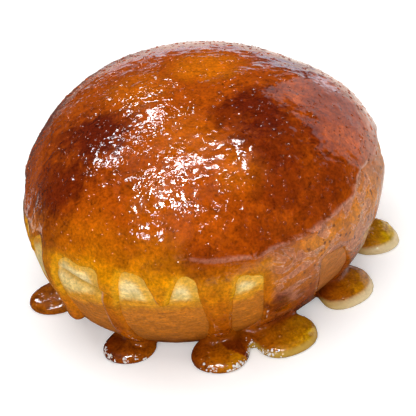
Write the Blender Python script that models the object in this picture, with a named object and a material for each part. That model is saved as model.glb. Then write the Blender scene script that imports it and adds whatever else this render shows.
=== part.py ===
"""A filled doughnut: a fried bun under a caramel glaze that has run down its side and set in pools.

The bun is one solid and the caramel is another. The caramel is a coat over the dome, the drips that
hang from its edge, and the pools round the foot, all joined. Lengths are metres, +Z is up, azimuths
are degrees counter-clockwise from +X seen from above, and the side that faces -Y is the front. Sizes
are laid out about the bun's own axis, and at the end both solids move together until the origin is
the middle of the bottom of the whole.
"""

import math

import bmesh
import bpy
from mathutils import Vector

# Bun outline: a rounded dome over a tucked-in underside, both superellipses
BUN_RADIUS = 0.0447
BUN_HEIGHT = 0.0498
WIDEST_HEIGHT = 0.0235
DOME_FULLNESS = 2.30
UNDERSIDE_FULLNESS = 2.06
FOOT_SHARE = 0.757

# Unevenness of the outline seen from above, and the lean of the dome
OVAL_SHARE = -0.021
OVAL_TURN = math.radians(-2.4)
LOBE_SHARE = 0.033
LOBE_TURN = math.radians(-7.7)
DOME_LEAN = (0.0034, -0.0008)

# Broad soft hollows in the outline: azimuth in degrees, height, radius and depth
HOLLOWS = ((38, 0.0400, 0.0170, 0.0007), (195, 0.0300, 0.0130, 0.0010), (343, 0.0280, 0.0120, 0.0006))

# Caramel coat: its thickness, how much that varies, how its edge rounds off (drop below the edge
# line and share of the thickness, the last one inside the dough), its gap to the dough, and the
# heights between which the dough sinks to make room for it
COAT_THICKNESS = 0.0011
COAT_SWELL = 0.00025
EDGE_STEPS = ((0.0004, 0.85), (0.0008, 0.35), (0.0006, -2.4))
GAP = 0.0003
SINK_FROM = 0.0250
SINK_TO = 0.0340

# Lower edge of the coat: azimuth in degrees and height
COAT_EDGE = (
    (0, 0.0300), (18, 0.0290), (38, 0.0315), (58, 0.0300), (80, 0.0325), (104, 0.0295),
    (128, 0.0310), (150, 0.0290), (172, 0.0305), (190, 0.0285), (205, 0.0280), (219, 0.0287),
    (231, 0.0308), (240, 0.0325), (262, 0.0320), (272, 0.0300), (288, 0.0288), (310, 0.0288),
    (320, 0.0302), (333, 0.0325), (348, 0.0308),
)

# Relief of the bare dough: a pale ring that swells a little and a slanting fold across it
FOLD_START = (226, 0.0292)
FOLD_END = (250, 0.0226)
FOLD_DEPTH = 0.0010
FOLD_HALF_WIDTH = 0.0014
RING_HEIGHT = 0.0245
RING_HALF_WIDTH = 0.0050
RING_SWELL = 0.0004

# Drips: top azimuth, end azimuth, end height, top width, end width, share of the fall in which it
# narrows, thickness, and swell of the bead at its end. An end height of 0 runs on into a pool.
DRIPS = (
    (204.5, 205.5, 0.0215, 0.0058, 0.0032, 0.6, 0.0009, 0.0),
    (219.5, 224.0, 0.0085, 0.0082, 0.0048, 0.4, 0.0015, 0.40),
    (240.0, 241.0, 0.0, 0.0100, 0.0050, 0.4, 0.0012, 0.0),
    (256.0, 256.3, 0.0208, 0.0092, 0.0016, 1.0, 0.0011, 0.0),
    (270.5, 272.0, 0.0, 0.0120, 0.0056, 0.6, 0.0012, 0.0),
    (290.5, 294.0, 0.0, 0.0140, 0.0108, 0.5, 0.0012, 0.0),
    (318.0, 323.0, 0.0, 0.0200, 0.0150, 0.6, 0.0011, 0.0),
    (342.0, 350.0, 0.0, 0.0150, 0.0110, 0.5, 0.0010, 0.0),
    (12.0, 11.0, 0.0175, 0.0084, 0.0034, 0.6, 0.0012, 0.25),
    (30.0, 32.0, 0.0, 0.0112, 0.0060, 0.4, 0.0013, 0.0),
    (62.0, 60.0, 0.0, 0.0096, 0.0050, 0.4, 0.0013, 0.0),
    (80.0, 80.5, 0.0190, 0.0086, 0.0016, 1.0, 0.0012, 0.0),
    (101.0, 103.0, 0.0, 0.0128, 0.0078, 0.5, 0.0013, 0.0),
    (124.0, 122.0, 0.0110, 0.0084, 0.0044, 0.4, 0.0014, 0.40),
    (146.0, 145.0, 0.0, 0.0108, 0.0056, 0.4, 0.0013, 0.0),
    (166.0, 167.0, 0.0205, 0.0082, 0.0018, 1.0, 0.0012, 0.0),
    (189.5, 193.5, 0.0, 0.0100, 0.0056, 0.4, 0.0010, 0.0),
)
DRIP_ROOT_RISE = 0.0026
DRIP_ROOT_THICKNESS = 0.8 * COAT_THICKNESS
DRIP_ROUNDING = 0.55
DRIP_FOOT_FLARE = 0.55
BEAD_PLACE = 0.93
BEAD_SPREAD = 0.10

# Pools round the foot: azimuth, distance of the middle from the axis, half width along the foot,
# half width outwards, thickness, and reach of a thin pale lip under the rim
POOLS = (
    (197.0, 0.0400, 0.0062, 0.0060, 0.0028, 0.0),
    (239.3, 0.0389, 0.0063, 0.0062, 0.0029, 0.0),
    (271.4, 0.0405, 0.0068, 0.0066, 0.0029, 0.0),
    (282.5, 0.0372, 0.0046, 0.0034, 0.0027, 0.0),
    (293.4, 0.0406, 0.0074, 0.0068, 0.0030, 0.0006),
    (325.5, 0.0393, 0.0076, 0.0060, 0.0031, 0.0013),
    (355.0, 0.0424, 0.0068, 0.0063, 0.0030, 0.0012),
    (31.5, 0.0410, 0.0072, 0.0064, 0.0029, 0.0008),
    (60.5, 0.0394, 0.0060, 0.0057, 0.0027, 0.0),
    (102.5, 0.0408, 0.0078, 0.0066, 0.0030, 0.0008),
    (145.0, 0.0392, 0.0064, 0.0061, 0.0028, 0.0),
)
POOL_WAVE = 0.035
POOL_HEEL = 0.6
LIP_THICKNESS = 0.0013

# Mesh fineness
DOUGH_SEGMENTS = 80
DOUGH_RINGS = 25
COVERED_RINGS = 8
COVERED_TO = 0.0335
COAT_SEGMENTS = 76
COAT_RINGS = 15
DRIP_SEGMENTS = 10
DRIP_RINGS = 12
POOL_SEGMENTS = 18
POOL_RINGS = 8
MERGE_DISTANCE = 0.00003
BELOW_GROUND = 0.0020
SHARP_ANGLE = math.radians(50)

COLLECTION_NAME = "caramel_doughnut"
CUTTER_COLLECTION_NAME = "cutters"

DOUGH_COLOUR = (0.64, 0.36, 0.12, 1.0)
CARAMEL_COLOUR = (0.42, 0.13, 0.012, 1.0)


def clear_scene():
    for old in list(bpy.data.objects):
        bpy.data.objects.remove(old, do_unlink=True)


def smooth_step(value, low, high):
    """0 below low, 1 above high, with a soft slope between them."""
    share = min(max((value - low) / (high - low), 0.0), 1.0)
    return share * share * (3.0 - 2.0 * share)


def plan_factor(azimuth):
    """How far the bun stands out at an azimuth, as a share of its mean radius."""
    oval = OVAL_SHARE * math.cos(2 * (azimuth - OVAL_TURN))
    lobes = LOBE_SHARE * math.cos(3 * (azimuth - LOBE_TURN))
    return 1.0 + oval + lobes


def underside_end():
    """The superellipse's vertical share at the foot."""
    return (1.0 - FOOT_SHARE ** UNDERSIDE_FULLNESS) ** (1.0 / UNDERSIDE_FULLNESS)


def profile(level):
    """Radius and height on the outline: level 1 is the top, 0 the widest point, -1 the foot."""
    if level >= 0.0:
        angle = level * math.pi / 2
        radius = max(math.cos(angle), 0.0) ** (2 / DOME_FULLNESS)
        rise = math.sin(angle) ** (2 / DOME_FULLNESS)
        return BUN_RADIUS * radius, WIDEST_HEIGHT + (BUN_HEIGHT - WIDEST_HEIGHT) * rise
    angle = -level * math.acos(FOOT_SHARE ** (UNDERSIDE_FULLNESS / 2))
    radius = math.cos(angle) ** (2 / UNDERSIDE_FULLNESS)
    drop = math.sin(angle) ** (2 / UNDERSIDE_FULLNESS) / underside_end()
    return BUN_RADIUS * radius, WIDEST_HEIGHT * (1.0 - drop)


def level_at(height):
    """The level whose outline point has a height."""
    if height >= WIDEST_HEIGHT:
        rise = min((height - WIDEST_HEIGHT) / (BUN_HEIGHT - WIDEST_HEIGHT), 1.0)
        return math.asin(rise ** (DOME_FULLNESS / 2)) / (math.pi / 2)
    drop = min(1.0 - height / WIDEST_HEIGHT, 1.0) * underside_end()
    whole = math.acos(FOOT_SHARE ** (UNDERSIDE_FULLNESS / 2))
    return -math.asin(drop ** (UNDERSIDE_FULLNESS / 2)) / whole


def bun_point(azimuth, level):
    """A point of the bun's smooth outer shape."""
    radius, height = profile(level)
    reach = radius * plan_factor(azimuth)
    lean = (height / BUN_HEIGHT) ** 2
    x = reach * math.cos(azimuth) + lean * DOME_LEAN[0]
    y = reach * math.sin(azimuth) + lean * DOME_LEAN[1]
    return Vector((x, y, height))


def bun_normal(azimuth, level):
    """The outward direction of the bun's smooth outer shape."""
    step = 0.004
    high = min(level + step, 0.999)
    low = max(level - step, -1.0)
    if low >= high:
        return Vector((0.0, 0.0, 1.0))
    along = bun_point(azimuth, high) - bun_point(azimuth, low)
    around = bun_point(azimuth + step, level) - bun_point(azimuth - step, level)
    if around.length < 1e-7:
        return Vector((0.0, 0.0, 1.0))
    return around.cross(along).normalized()


def coat_edge_height(azimuth):
    """Height of the coat's lower edge, eased from one listed point to the next."""
    degrees = math.degrees(azimuth) % 360
    count = len(COAT_EDGE)
    for index in range(count):
        start, low = COAT_EDGE[index]
        end, high = COAT_EDGE[(index + 1) % count]
        span = (end - start) % 360
        past = (degrees - start) % 360
        if past <= span:
            share = smooth_step(past, 0, span)
            return low + (high - low) * share
    return COAT_EDGE[0][1]


def fold_relief(azimuth, height):
    """A slanting fold between two soft swellings of the pale ring."""
    degrees = math.degrees(azimuth) % 360
    share = (degrees - FOLD_START[0]) / (FOLD_END[0] - FOLD_START[0])
    fade = smooth_step(share, 0.0, 0.3) * (1.0 - smooth_step(share, 0.7, 1.0))
    middle = FOLD_START[1] + (FOLD_END[1] - FOLD_START[1]) * share
    away = (height - middle) / FOLD_HALF_WIDTH
    return -FOLD_DEPTH * fade * math.exp(-away * away)


def dough_relief(azimuth, height):
    """How far the dough stands out from the bun's smooth shape, which is less under the coat."""
    ring = (height - RING_HEIGHT) / RING_HALF_WIDTH
    relief = RING_SWELL * math.exp(-ring * ring) + fold_relief(azimuth, height)
    for degrees, hollow_height, radius, depth in HOLLOWS:
        aside = math.remainder(azimuth - math.radians(degrees), 2 * math.pi) * BUN_RADIUS
        away = (aside * aside + (height - hollow_height) ** 2) / radius ** 2
        relief -= depth * math.exp(-away)
    return relief - COAT_THICKNESS * smooth_step(height, SINK_FROM, SINK_TO)


def lifted_point(azimuth, level, lift):
    """A point over the dough's own surface by a lift."""
    point = bun_point(azimuth, level)
    relief = dough_relief(azimuth, point.z)
    return point + bun_normal(azimuth, level) * (relief + lift)


def new_object(name, mesh_data, collection):
    mesh = bpy.data.meshes.new(name)
    mesh_data.to_mesh(mesh)
    mesh_data.free()
    made = bpy.data.objects.new(name, mesh)
    collection.objects.link(made)
    return made


def shaped_sphere(segments, rings, place):
    """A sphere whose points are moved by place(azimuth, share from top to bottom pole)."""
    ball = bmesh.new()
    bmesh.ops.create_uvsphere(ball, u_segments=segments, v_segments=rings, radius=1.0)
    for point in ball.verts:
        azimuth = math.atan2(point.co.y, point.co.x)
        share = math.acos(min(max(point.co.z, -1.0), 1.0)) / math.pi
        point.co = place(azimuth, share)
    bmesh.ops.recalc_face_normals(ball, faces=ball.faces)
    return ball


def dough_level(ring):
    """Rings are sparse under the coat and crowd together on the bare side."""
    covered_level = level_at(COVERED_TO)
    if ring <= COVERED_RINGS:
        return 1.0 - (1.0 - covered_level) * ring / COVERED_RINGS
    share = (ring - COVERED_RINGS) / (DOUGH_RINGS - 1 - COVERED_RINGS)
    return covered_level - (covered_level + 1.0) * share


def make_dough(name, lift, base_height, collection):
    """The bun, from the middle of its flat base to the top of its dome."""
    def place(azimuth, share):
        ring = round(share * DOUGH_RINGS)
        if ring == DOUGH_RINGS:
            return Vector((0.0, 0.0, base_height))
        point = lifted_point(azimuth, dough_level(ring), lift)
        if ring == DOUGH_RINGS - 1:
            point.z = base_height
        return point

    return new_object(name, shaped_sphere(DOUGH_SEGMENTS, DOUGH_RINGS, place), collection)


def coat_lift(azimuth, level):
    """The coat lies a little unevenly over the dome."""
    waves = math.sin(3 * azimuth + 4 * level) + math.sin(5 * azimuth - 7 * level + 1.0)
    return COAT_THICKNESS + COAT_SWELL * 0.5 * waves * min(1.0, 2.0 * (1.0 - level))


def make_coat(name, collection):
    """The cap of caramel: over the dome to its edge, round the edge, and back inside the bun."""
    dome_rings = COAT_RINGS - len(EDGE_STEPS) - 1

    def place(azimuth, share):
        ring = round(share * COAT_RINGS)
        edge_height = coat_edge_height(azimuth)
        if ring <= dome_rings:
            level = 1.0 - (1.0 - level_at(edge_height)) * ring / dome_rings
            return lifted_point(azimuth, level, coat_lift(azimuth, level))
        if ring == COAT_RINGS:
            return Vector((0.0, 0.0, WIDEST_HEIGHT))
        drop, thickness = EDGE_STEPS[ring - dome_rings - 1]
        level = level_at(edge_height - drop)
        return lifted_point(azimuth, level, thickness * COAT_THICKNESS)

    return new_object(name, shaped_sphere(COAT_SEGMENTS, COAT_RINGS, place), collection)


def make_drip(name, drip, collection):
    """One run of caramel down the side, half sunk in the dough along its whole length."""
    top_azimuth, end_azimuth, end_height, top_width, end_width, narrowing, thickness, bead = drip
    top = math.radians(top_azimuth)
    turn = math.radians(end_azimuth - top_azimuth)
    root_height = coat_edge_height(top) + DRIP_ROOT_RISE
    length = root_height - end_height
    foot_flare = DRIP_FOOT_FLARE if end_height == 0.0 else 0.0

    def place(angle, share):
        fall = 0.5 - 0.5 * math.cos(share * math.pi)
        height = root_height - length * fall
        waist = smooth_step(fall, 0.0, narrowing)
        flare = 1.0 + foot_flare * smooth_step(fall, 0.72, 1.0)
        swell = 1.0 + bead * math.exp(-((fall - BEAD_PLACE) / BEAD_SPREAD) ** 2)
        rounding = math.sin(share * math.pi) ** DRIP_ROUNDING * swell * flare
        half_width = 0.5 * (top_width + (end_width - top_width) * waist)
        fullness = smooth_step(fall, 0.1, 0.3)
        depth = DRIP_ROOT_THICKNESS + (thickness - DRIP_ROOT_THICKNESS) * fullness
        level = level_at(height)
        azimuth = top + turn * smooth_step(fall, 0.2, 0.9)
        azimuth += math.cos(angle) * half_width * rounding / (profile(level)[0] * plan_factor(azimuth))
        return lifted_point(azimuth, level, math.sin(angle) * depth * rounding + GAP)

    return new_object(name, shaped_sphere(DRIP_SEGMENTS, DRIP_RINGS, place), collection)


def pool_profile(thickness, lip):
    """Reach beyond the pool's own rim and height, ring by ring from the middle of the top down."""
    return (
        (0.00, 0.0, thickness), (0.45, 0.0, 0.98 * thickness), (0.76, 0.0, 0.88 * thickness),
        (0.94, 0.0, 0.68 * thickness), (1.00, 0.15 * lip, LIP_THICKNESS),
        (1.00, lip, 0.55 * LIP_THICKNESS), (0.97, lip, -0.3 * LIP_THICKNESS),
        (0.50, 0.0, -0.6 * LIP_THICKNESS), (0.00, 0.0, -0.6 * LIP_THICKNESS),
    )


def make_pool(name, pool, number, collection):
    """One flat-topped, round-rimmed pool that reaches in under the bun and climbs its foot."""
    turn, distance, half_along, half_out, thickness, lip = pool
    out = Vector((math.cos(math.radians(turn)), math.sin(math.radians(turn)), 0.0))
    along = Vector((-out.y, out.x, 0.0))
    rings = pool_profile(thickness, lip)

    def place(angle, share):
        reach, beyond, height = rings[round(share * POOL_RINGS)]
        wave = 1.0 + POOL_WAVE * (math.cos(2 * angle + number) + math.cos(3 * angle + 2.3 * number))
        across = out * math.cos(angle) * half_out + along * math.sin(angle) * half_along
        point = out * distance + across * reach * wave + across.normalized() * beyond
        inwards = -reach * math.cos(angle)
        heel = 1.0 + POOL_HEEL * smooth_step(inwards, -0.2, 0.9) if height > 0.0 else 1.0
        point.z = height * heel
        return point

    return new_object(name, shaped_sphere(POOL_SEGMENTS, POOL_RINGS, place), collection)


def make_ground(name, collection):
    """A block under the surface that the doughnut stands on, to cut the pools flat."""
    width = 4 * BUN_RADIUS
    depth = 0.01
    block = bmesh.new()
    bmesh.ops.create_cube(block, size=1.0)
    for corner in block.verts:
        corner.co = Vector((corner.co.x * width, corner.co.y * width, (corner.co.z - 0.5) * depth))
    return new_object(name, block, collection)


def add_boolean(target, operation, collection):
    modifier = target.modifiers.new(operation.lower(), 'BOOLEAN')
    modifier.operation = operation
    modifier.operand_type = 'COLLECTION'
    modifier.collection = collection
    modifier.solver = 'EXACT'


def apply_modifiers(target):
    """Replace an object's mesh by its evaluated mesh and drop the modifiers."""
    graph = bpy.context.evaluated_depsgraph_get()
    mesh = bpy.data.meshes.new_from_object(target.evaluated_get(graph))
    target.modifiers.clear()
    old = target.data
    target.data = mesh
    bpy.data.meshes.remove(old)


def tidy_mesh(target, distance):
    """Merge points that lie almost together and drop faces without area."""
    work = bmesh.new()
    work.from_mesh(target.data)
    bmesh.ops.remove_doubles(work, verts=work.verts, dist=distance)
    bmesh.ops.dissolve_degenerate(work, edges=work.edges, dist=distance)
    bmesh.ops.triangulate(work, faces=[face for face in work.faces if len(face.verts) > 4])
    work.to_mesh(target.data)
    work.free()


def empty_collection(collection):
    for item in list(collection.objects):
        bpy.data.objects.remove(item, do_unlink=True)
    bpy.data.collections.remove(collection)


def add_material(target, name, colour, roughness):
    material = bpy.data.materials.new(name)
    material.use_nodes = True
    shader = material.node_tree.nodes["Principled BSDF"]
    shader.inputs["Base Color"].default_value = colour
    shader.inputs["Roughness"].default_value = roughness
    shader.inputs["Metallic"].default_value = 0.0
    target.data.materials.clear()
    target.data.materials.append(material)


def make_caramel(collection, runs, cutters):
    """The coat joined with its drips and pools, less the room that the bun and the ground take."""
    coat = make_coat("caramel_glaze", collection)
    for number, drip in enumerate(DRIPS):
        make_drip(f"drip_{number}", drip, runs)
    for number, pool in enumerate(POOLS):
        make_pool(f"pool_{number}", pool, number, runs)
    add_boolean(coat, 'UNION', runs)
    apply_modifiers(coat)
    empty_collection(runs)
    make_dough("bun_room", GAP, -BELOW_GROUND, cutters)
    make_ground("ground_room", cutters)
    add_boolean(coat, 'DIFFERENCE', cutters)
    apply_modifiers(coat)
    empty_collection(cutters)
    tidy_mesh(coat, MERGE_DISTANCE)
    return coat


def stand_on_origin(things):
    """Move everything together so that the origin is the middle of the bottom of the whole."""
    corners = [point.co for thing in things for point in thing.data.vertices]
    middle_x = 0.5 * (min(c.x for c in corners) + max(c.x for c in corners))
    middle_y = 0.5 * (min(c.y for c in corners) + max(c.y for c in corners))
    bottom = min(c.z for c in corners)
    for thing in things:
        for point in thing.data.vertices:
            point.co -= Vector((middle_x, middle_y, bottom))
        thing.data.update()


def new_collection(name):
    collection = bpy.data.collections.new(name)
    bpy.context.scene.collection.children.link(collection)
    return collection


def main():
    clear_scene()
    doughnut = new_collection(COLLECTION_NAME)
    runs = new_collection("runs")
    cutters = new_collection(CUTTER_COLLECTION_NAME)
    dough = make_dough("dough", 0.0, 0.0, doughnut)
    caramel = make_caramel(doughnut, runs, cutters)
    stand_on_origin((dough, caramel))
    add_material(dough, "fried dough", DOUGH_COLOUR, 0.6)
    add_material(caramel, "caramel", CARAMEL_COLOUR, 0.12)
    for thing in (dough, caramel):
        thing.data.shade_smooth()
        thing.data.set_sharp_from_angle(angle=SHARP_ANGLE)


main()
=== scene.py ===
"""The looks of a filled doughnut under a caramel glaze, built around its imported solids.

The bun and its caramel are rebuilt finely on the same outline as the solids. Lengths are metres, +Z
is up, azimuths are degrees counter-clockwise from +X seen from above, and the front faces -Y. Sizes
are laid out about the bun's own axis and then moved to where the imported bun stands.
"""

import math

import bmesh
import bpy
import numpy as np
from mathutils import Matrix, Vector


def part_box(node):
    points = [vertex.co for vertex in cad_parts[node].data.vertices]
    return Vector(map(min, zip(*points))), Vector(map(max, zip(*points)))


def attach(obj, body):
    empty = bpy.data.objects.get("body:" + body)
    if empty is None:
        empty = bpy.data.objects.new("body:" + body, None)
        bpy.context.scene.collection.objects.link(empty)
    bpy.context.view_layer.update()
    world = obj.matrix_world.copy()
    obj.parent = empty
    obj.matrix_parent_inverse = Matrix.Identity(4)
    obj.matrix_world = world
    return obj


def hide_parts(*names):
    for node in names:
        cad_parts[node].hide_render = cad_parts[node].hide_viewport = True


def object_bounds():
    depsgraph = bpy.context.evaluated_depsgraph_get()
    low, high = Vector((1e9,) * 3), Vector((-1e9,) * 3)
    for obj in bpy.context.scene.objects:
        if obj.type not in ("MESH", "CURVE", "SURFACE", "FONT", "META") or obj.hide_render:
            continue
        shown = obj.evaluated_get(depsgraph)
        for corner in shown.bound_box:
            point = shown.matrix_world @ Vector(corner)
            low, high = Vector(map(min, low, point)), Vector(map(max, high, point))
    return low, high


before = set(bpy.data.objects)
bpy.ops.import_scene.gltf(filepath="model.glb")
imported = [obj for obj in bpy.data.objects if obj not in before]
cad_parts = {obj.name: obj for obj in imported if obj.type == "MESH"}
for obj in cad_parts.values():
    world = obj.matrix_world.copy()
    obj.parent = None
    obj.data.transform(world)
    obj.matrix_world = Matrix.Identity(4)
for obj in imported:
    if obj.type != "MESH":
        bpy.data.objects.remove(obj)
CAD_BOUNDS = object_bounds()

bl_info = {
    "name": "Caramel Doughnut",
    "version": (1, 0, 0),
    "blender": (4, 5, 0),
    "location": "View3D > Sidebar > Doughnut",
    "description": "Builds a glazed filled doughnut with drips and set caramel pools",
    "category": "Add Mesh",
}

# Bun outline, as the solids have it: a rounded dome over a tucked-in underside, both superellipses
BUN_RADIUS = 0.0447
BUN_HEIGHT = 0.0498
WIDEST_HEIGHT = 0.0235
DOME_FULLNESS = 2.30
UNDERSIDE_FULLNESS = 2.06
FOOT_SHARE = 0.757
OVAL_SHARE = -0.021
OVAL_TURN = math.radians(-2.4)
LOBE_SHARE = 0.033
LOBE_TURN = math.radians(-7.7)
DOME_LEAN = (0.0034, -0.0008)

# Shallow hollows of the bun: azimuth, height, radius and depth
HOLLOWS = ((38, 0.0400, 0.0170, 0.0007), (195, 0.0300, 0.0130, 0.0010), (343, 0.0280, 0.0120, 0.0006))

# Relief of the dough: a slanting fold from one azimuth and height to another, a pale ring that
# swells a little, the heights between which it sinks under the coat, and pits by azimuth and height
FOLD_START = (221, 0.0252)
FOLD_END = (245, 0.0218)
FOLD_DEPTH = 0.0013
FOLD_HALF_WIDTH = 0.0011
RING_HEIGHT = 0.0245
RING_HALF_WIDTH = 0.0050
RING_SWELL = 0.0004
SINK_FROM = 0.0250
SINK_TO = 0.0340
PIT_DEPTH = 0.0007
PIT_RADIUS = 0.0011
PITS = (
    (263, 0.0185), (276, 0.0192), (251, 0.0125), (283, 0.0120), (38, 0.0170), (121, 0.0150),
    (172, 0.0190),
)

# Colouring of the bun by azimuth and height: where the pale ring begins and ends, and where the
# toasted dome begins
RING_BOTTOM = (
    (209, 0.0160), (222, 0.0190), (238, 0.0214), (255, 0.0224), (270, 0.0215), (280, 0.0204),
    (289, 0.0220), (305, 0.0190), (325, 0.0180), (345, 0.0180), (375, 0.0190), (405, 0.0205),
    (435, 0.0185), (465, 0.0200), (495, 0.0190), (525, 0.0180), (550, 0.0165),
)
RING_TOP = (
    (206, 0.0251), (217, 0.0276), (233, 0.0305), (244, 0.0290), (260, 0.0276), (281, 0.0264),
    (289, 0.0280), (298, 0.0280), (315, 0.0285), (330, 0.0300), (350, 0.0280), (380, 0.0270),
    (410, 0.0285), (440, 0.0275), (470, 0.0270), (500, 0.0285), (530, 0.0265), (550, 0.0255),
)
TOAST_LINE = (
    (201, 0.0276), (211, 0.0288), (219, 0.0288), (223, 0.0282), (230, 0.0310), (239, 0.0331),
    (246, 0.0321), (262, 0.0321), (272, 0.0299), (288, 0.0288), (306, 0.0288), (317, 0.0299),
    (331, 0.0331), (346, 0.0310), (365, 0.0300), (390, 0.0325), (420, 0.0305), (450, 0.0330),
    (480, 0.0300), (510, 0.0320), (538, 0.0295),
)

# Caramel coat: its thickness, the gap that the solids have under it, how deep its skin runs under
# bare dough, the height where it closes there, in which stretch it dives, the rounding of its edge
# and of the corners between drips, and its lower edge by azimuth and height, with the waves on it
# by size, count and phase
COAT_THICKNESS = 0.0011
CONTACT_GAP = 0.0003
SUNK_DEPTH = 0.0011
COAT_BOTTOM = 0.001
SUNK_STRETCH = (-0.0001, 0.0006)
EDGE_ROUNDING = 0.0017
OUTLINE_BLEND = 0.0022
COAT_EDGE = (
    (0, 0.0290), (18, 0.0275), (38, 0.0300), (58, 0.0280), (80, 0.0300), (104, 0.0275),
    (128, 0.0290), (150, 0.0275), (172, 0.0285), (190, 0.0270), (205, 0.0265), (213, 0.0285),
    (231, 0.0282), (242, 0.0292), (252, 0.0288), (262, 0.0278), (272, 0.0268), (284, 0.0246),
    (298, 0.0245), (307, 0.0205), (318, 0.0195), (333, 0.0280), (348, 0.0295),
)
EDGE_WAVES = ((0.00025, 23, 1.3), (0.00018, 41, 0.0))

# Thin film below the toast line: its share of the coat's thickness, the half length of the step up
# to the full coat, which is longer round one azimuth, and the broken ridge where it is short
FILM_SHARE = 0.42
FILM_STEP = 0.0008
SOFT_STEP = 0.0036
SOFT_MIDDLE = 234
SOFT_HALF_WIDTH = 26
SOFT_FADE = 9
RIDGE_RISE = 0.00022
RIDGE_HALF_WIDTH = 0.0007
RIDGE_SHARE = 0.75
RIDGE_BREAKS = 0.35
TOAST_WAVES = ((0.0004, 17, 0.0), (0.0003, 37, 0.7))

# Drips: top azimuth, end azimuth, end height, top width, end width, share of the fall in which it
# narrows, thickness, and swell of the bead at its end. An end height of 0 runs on into a pool.
DRIPS = (
    (204.5, 205.5, 0.0215, 0.0058, 0.0032, 0.6, 0.0009, 0.0),
    (219.5, 224.0, 0.0085, 0.0082, 0.0048, 0.4, 0.0015, 0.40),
    (241.4, 242.0, 0.0, 0.0060, 0.0046, 0.4, 0.0012, 0.0),
    (256.3, 256.6, 0.0205, 0.0088, 0.0030, 1.0, 0.0011, 0.0),
    (271.8, 272.2, 0.0, 0.0096, 0.0056, 0.6, 0.0012, 0.0),
    (295.5, 297.8, 0.0, 0.0156, 0.0158, 0.5, 0.0012, 0.0),
    (325.0, 330.0, 0.0, 0.0160, 0.0100, 0.6, 0.0011, 0.0),
    (342.0, 350.0, 0.0, 0.0150, 0.0110, 0.5, 0.0010, 0.0),
    (12.0, 11.0, 0.0175, 0.0084, 0.0034, 0.6, 0.0012, 0.25),
    (30.0, 32.0, 0.0, 0.0112, 0.0060, 0.4, 0.0013, 0.0),
    (62.0, 60.0, 0.0, 0.0096, 0.0050, 0.4, 0.0013, 0.0),
    (80.0, 80.5, 0.0190, 0.0086, 0.0016, 1.0, 0.0012, 0.0),
    (101.0, 103.0, 0.0, 0.0128, 0.0078, 0.5, 0.0013, 0.0),
    (124.0, 122.0, 0.0110, 0.0084, 0.0044, 0.4, 0.0014, 0.40),
    (146.0, 145.0, 0.0, 0.0108, 0.0056, 0.4, 0.0013, 0.0),
    (166.0, 167.0, 0.0205, 0.0082, 0.0018, 1.0, 0.0012, 0.0),
    (189.5, 193.5, 0.0, 0.0100, 0.0056, 0.4, 0.0010, 0.0),
)
DRIP_ROOT_RISE = 0.0026
DRIP_FOOT_FLARE = 0.55
DRIP_MERGE = 0.004
DRIP_BORDER = 0.001
BEAD_REACH = 0.0024

# Thinning of the skin where it is hidden: the share of all its faces that stays, how far outside
# the caramel's outline and inside the bun such a place lies, and how low on the floor
HIDDEN_THINNING = 0.74
HIDDEN_ASIDE = 0.0012
HIDDEN_INSIDE = 0.0004
HIDDEN_BELOW = 0.00015

# Pools round the foot: azimuth, distance of the middle from the axis, half width along the foot,
# half width outwards, thickness, reach of a pale lip under the rim, how golden the caramel is, and
# how milky the lip is
POOLS = (
    (197.0, 0.0400, 0.0062, 0.0060, 0.0028, 0.0, 0.42, 0.0),
    (239.3, 0.0389, 0.0063, 0.0062, 0.0029, 0.0, 0.14, 0.0),
    (271.4, 0.0405, 0.0068, 0.0066, 0.0029, 0.0, 0.40, 0.0),
    (282.5, 0.0372, 0.0046, 0.0034, 0.0027, 0.0, 0.0, 0.0),
    (293.4, 0.0406, 0.0076, 0.0070, 0.0030, 0.0007, 0.56, 0.10),
    (325.5, 0.0393, 0.0078, 0.0062, 0.0031, 0.0016, 0.46, 0.85),
    (355.0, 0.0424, 0.0070, 0.0065, 0.0030, 0.0015, 0.66, 0.85),
    (31.5, 0.0410, 0.0072, 0.0064, 0.0029, 0.0010, 0.60, 0.70),
    (60.5, 0.0394, 0.0060, 0.0057, 0.0027, 0.0, 0.35, 0.0),
    (102.5, 0.0408, 0.0078, 0.0066, 0.0030, 0.0008, 0.30, 0.40),
    (145.0, 0.0392, 0.0064, 0.0061, 0.0028, 0.0, 0.20, 0.0),
)
POOL_WAVE = 0.035
POOL_HEEL = 0.6
POOL_SQUARENESS = 2.6
LIP_THICKNESS = 0.0018
LIP_INSET = 0.0003
LIP_SIDE = np.array((0.12, -1.0, 0.0))
LIP_OUTWARDS = 0.4
LIP_WHOLE_REACH = 0.0006
# Gold of the pools: towards +x it is painted light shining through them from the right; outwards it is
# partly the thinner caramel at the rim and partly painted shade on the side next to the bun
GOLD_PAINTED_LIGHT_ACROSS = 0.28
GOLD_OUTWARDS = 0.14

# Sides of the bun: middle azimuth, and the half widths in radians where the side is whole and gone
DOUGH_FLANK = (335, 0.55, 0.80)
COAT_FLANK = (325, 0.56, 0.68)
PITTED_SIDE = (20, 1.10, 1.60)
DENSE_PITS_SIDE = (330, 0.45, 0.70)
CALM_SIDE = (20, 1.25, 1.75)
# Side that carries the painted highlight on the drip edges
EDGE_HIGHLIGHT_SIDE = (175, 1.35, 1.45)

# Skins before the finer relief: columns, and distance of the rings on the dome and on the side,
# which begins at a height
DOUGH_MESH = (460, 0.0011, 0.00050)
COAT_MESH = (620, 0.0007, 0.00042)
MESH_SIDE_HEIGHT = 0.036
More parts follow.
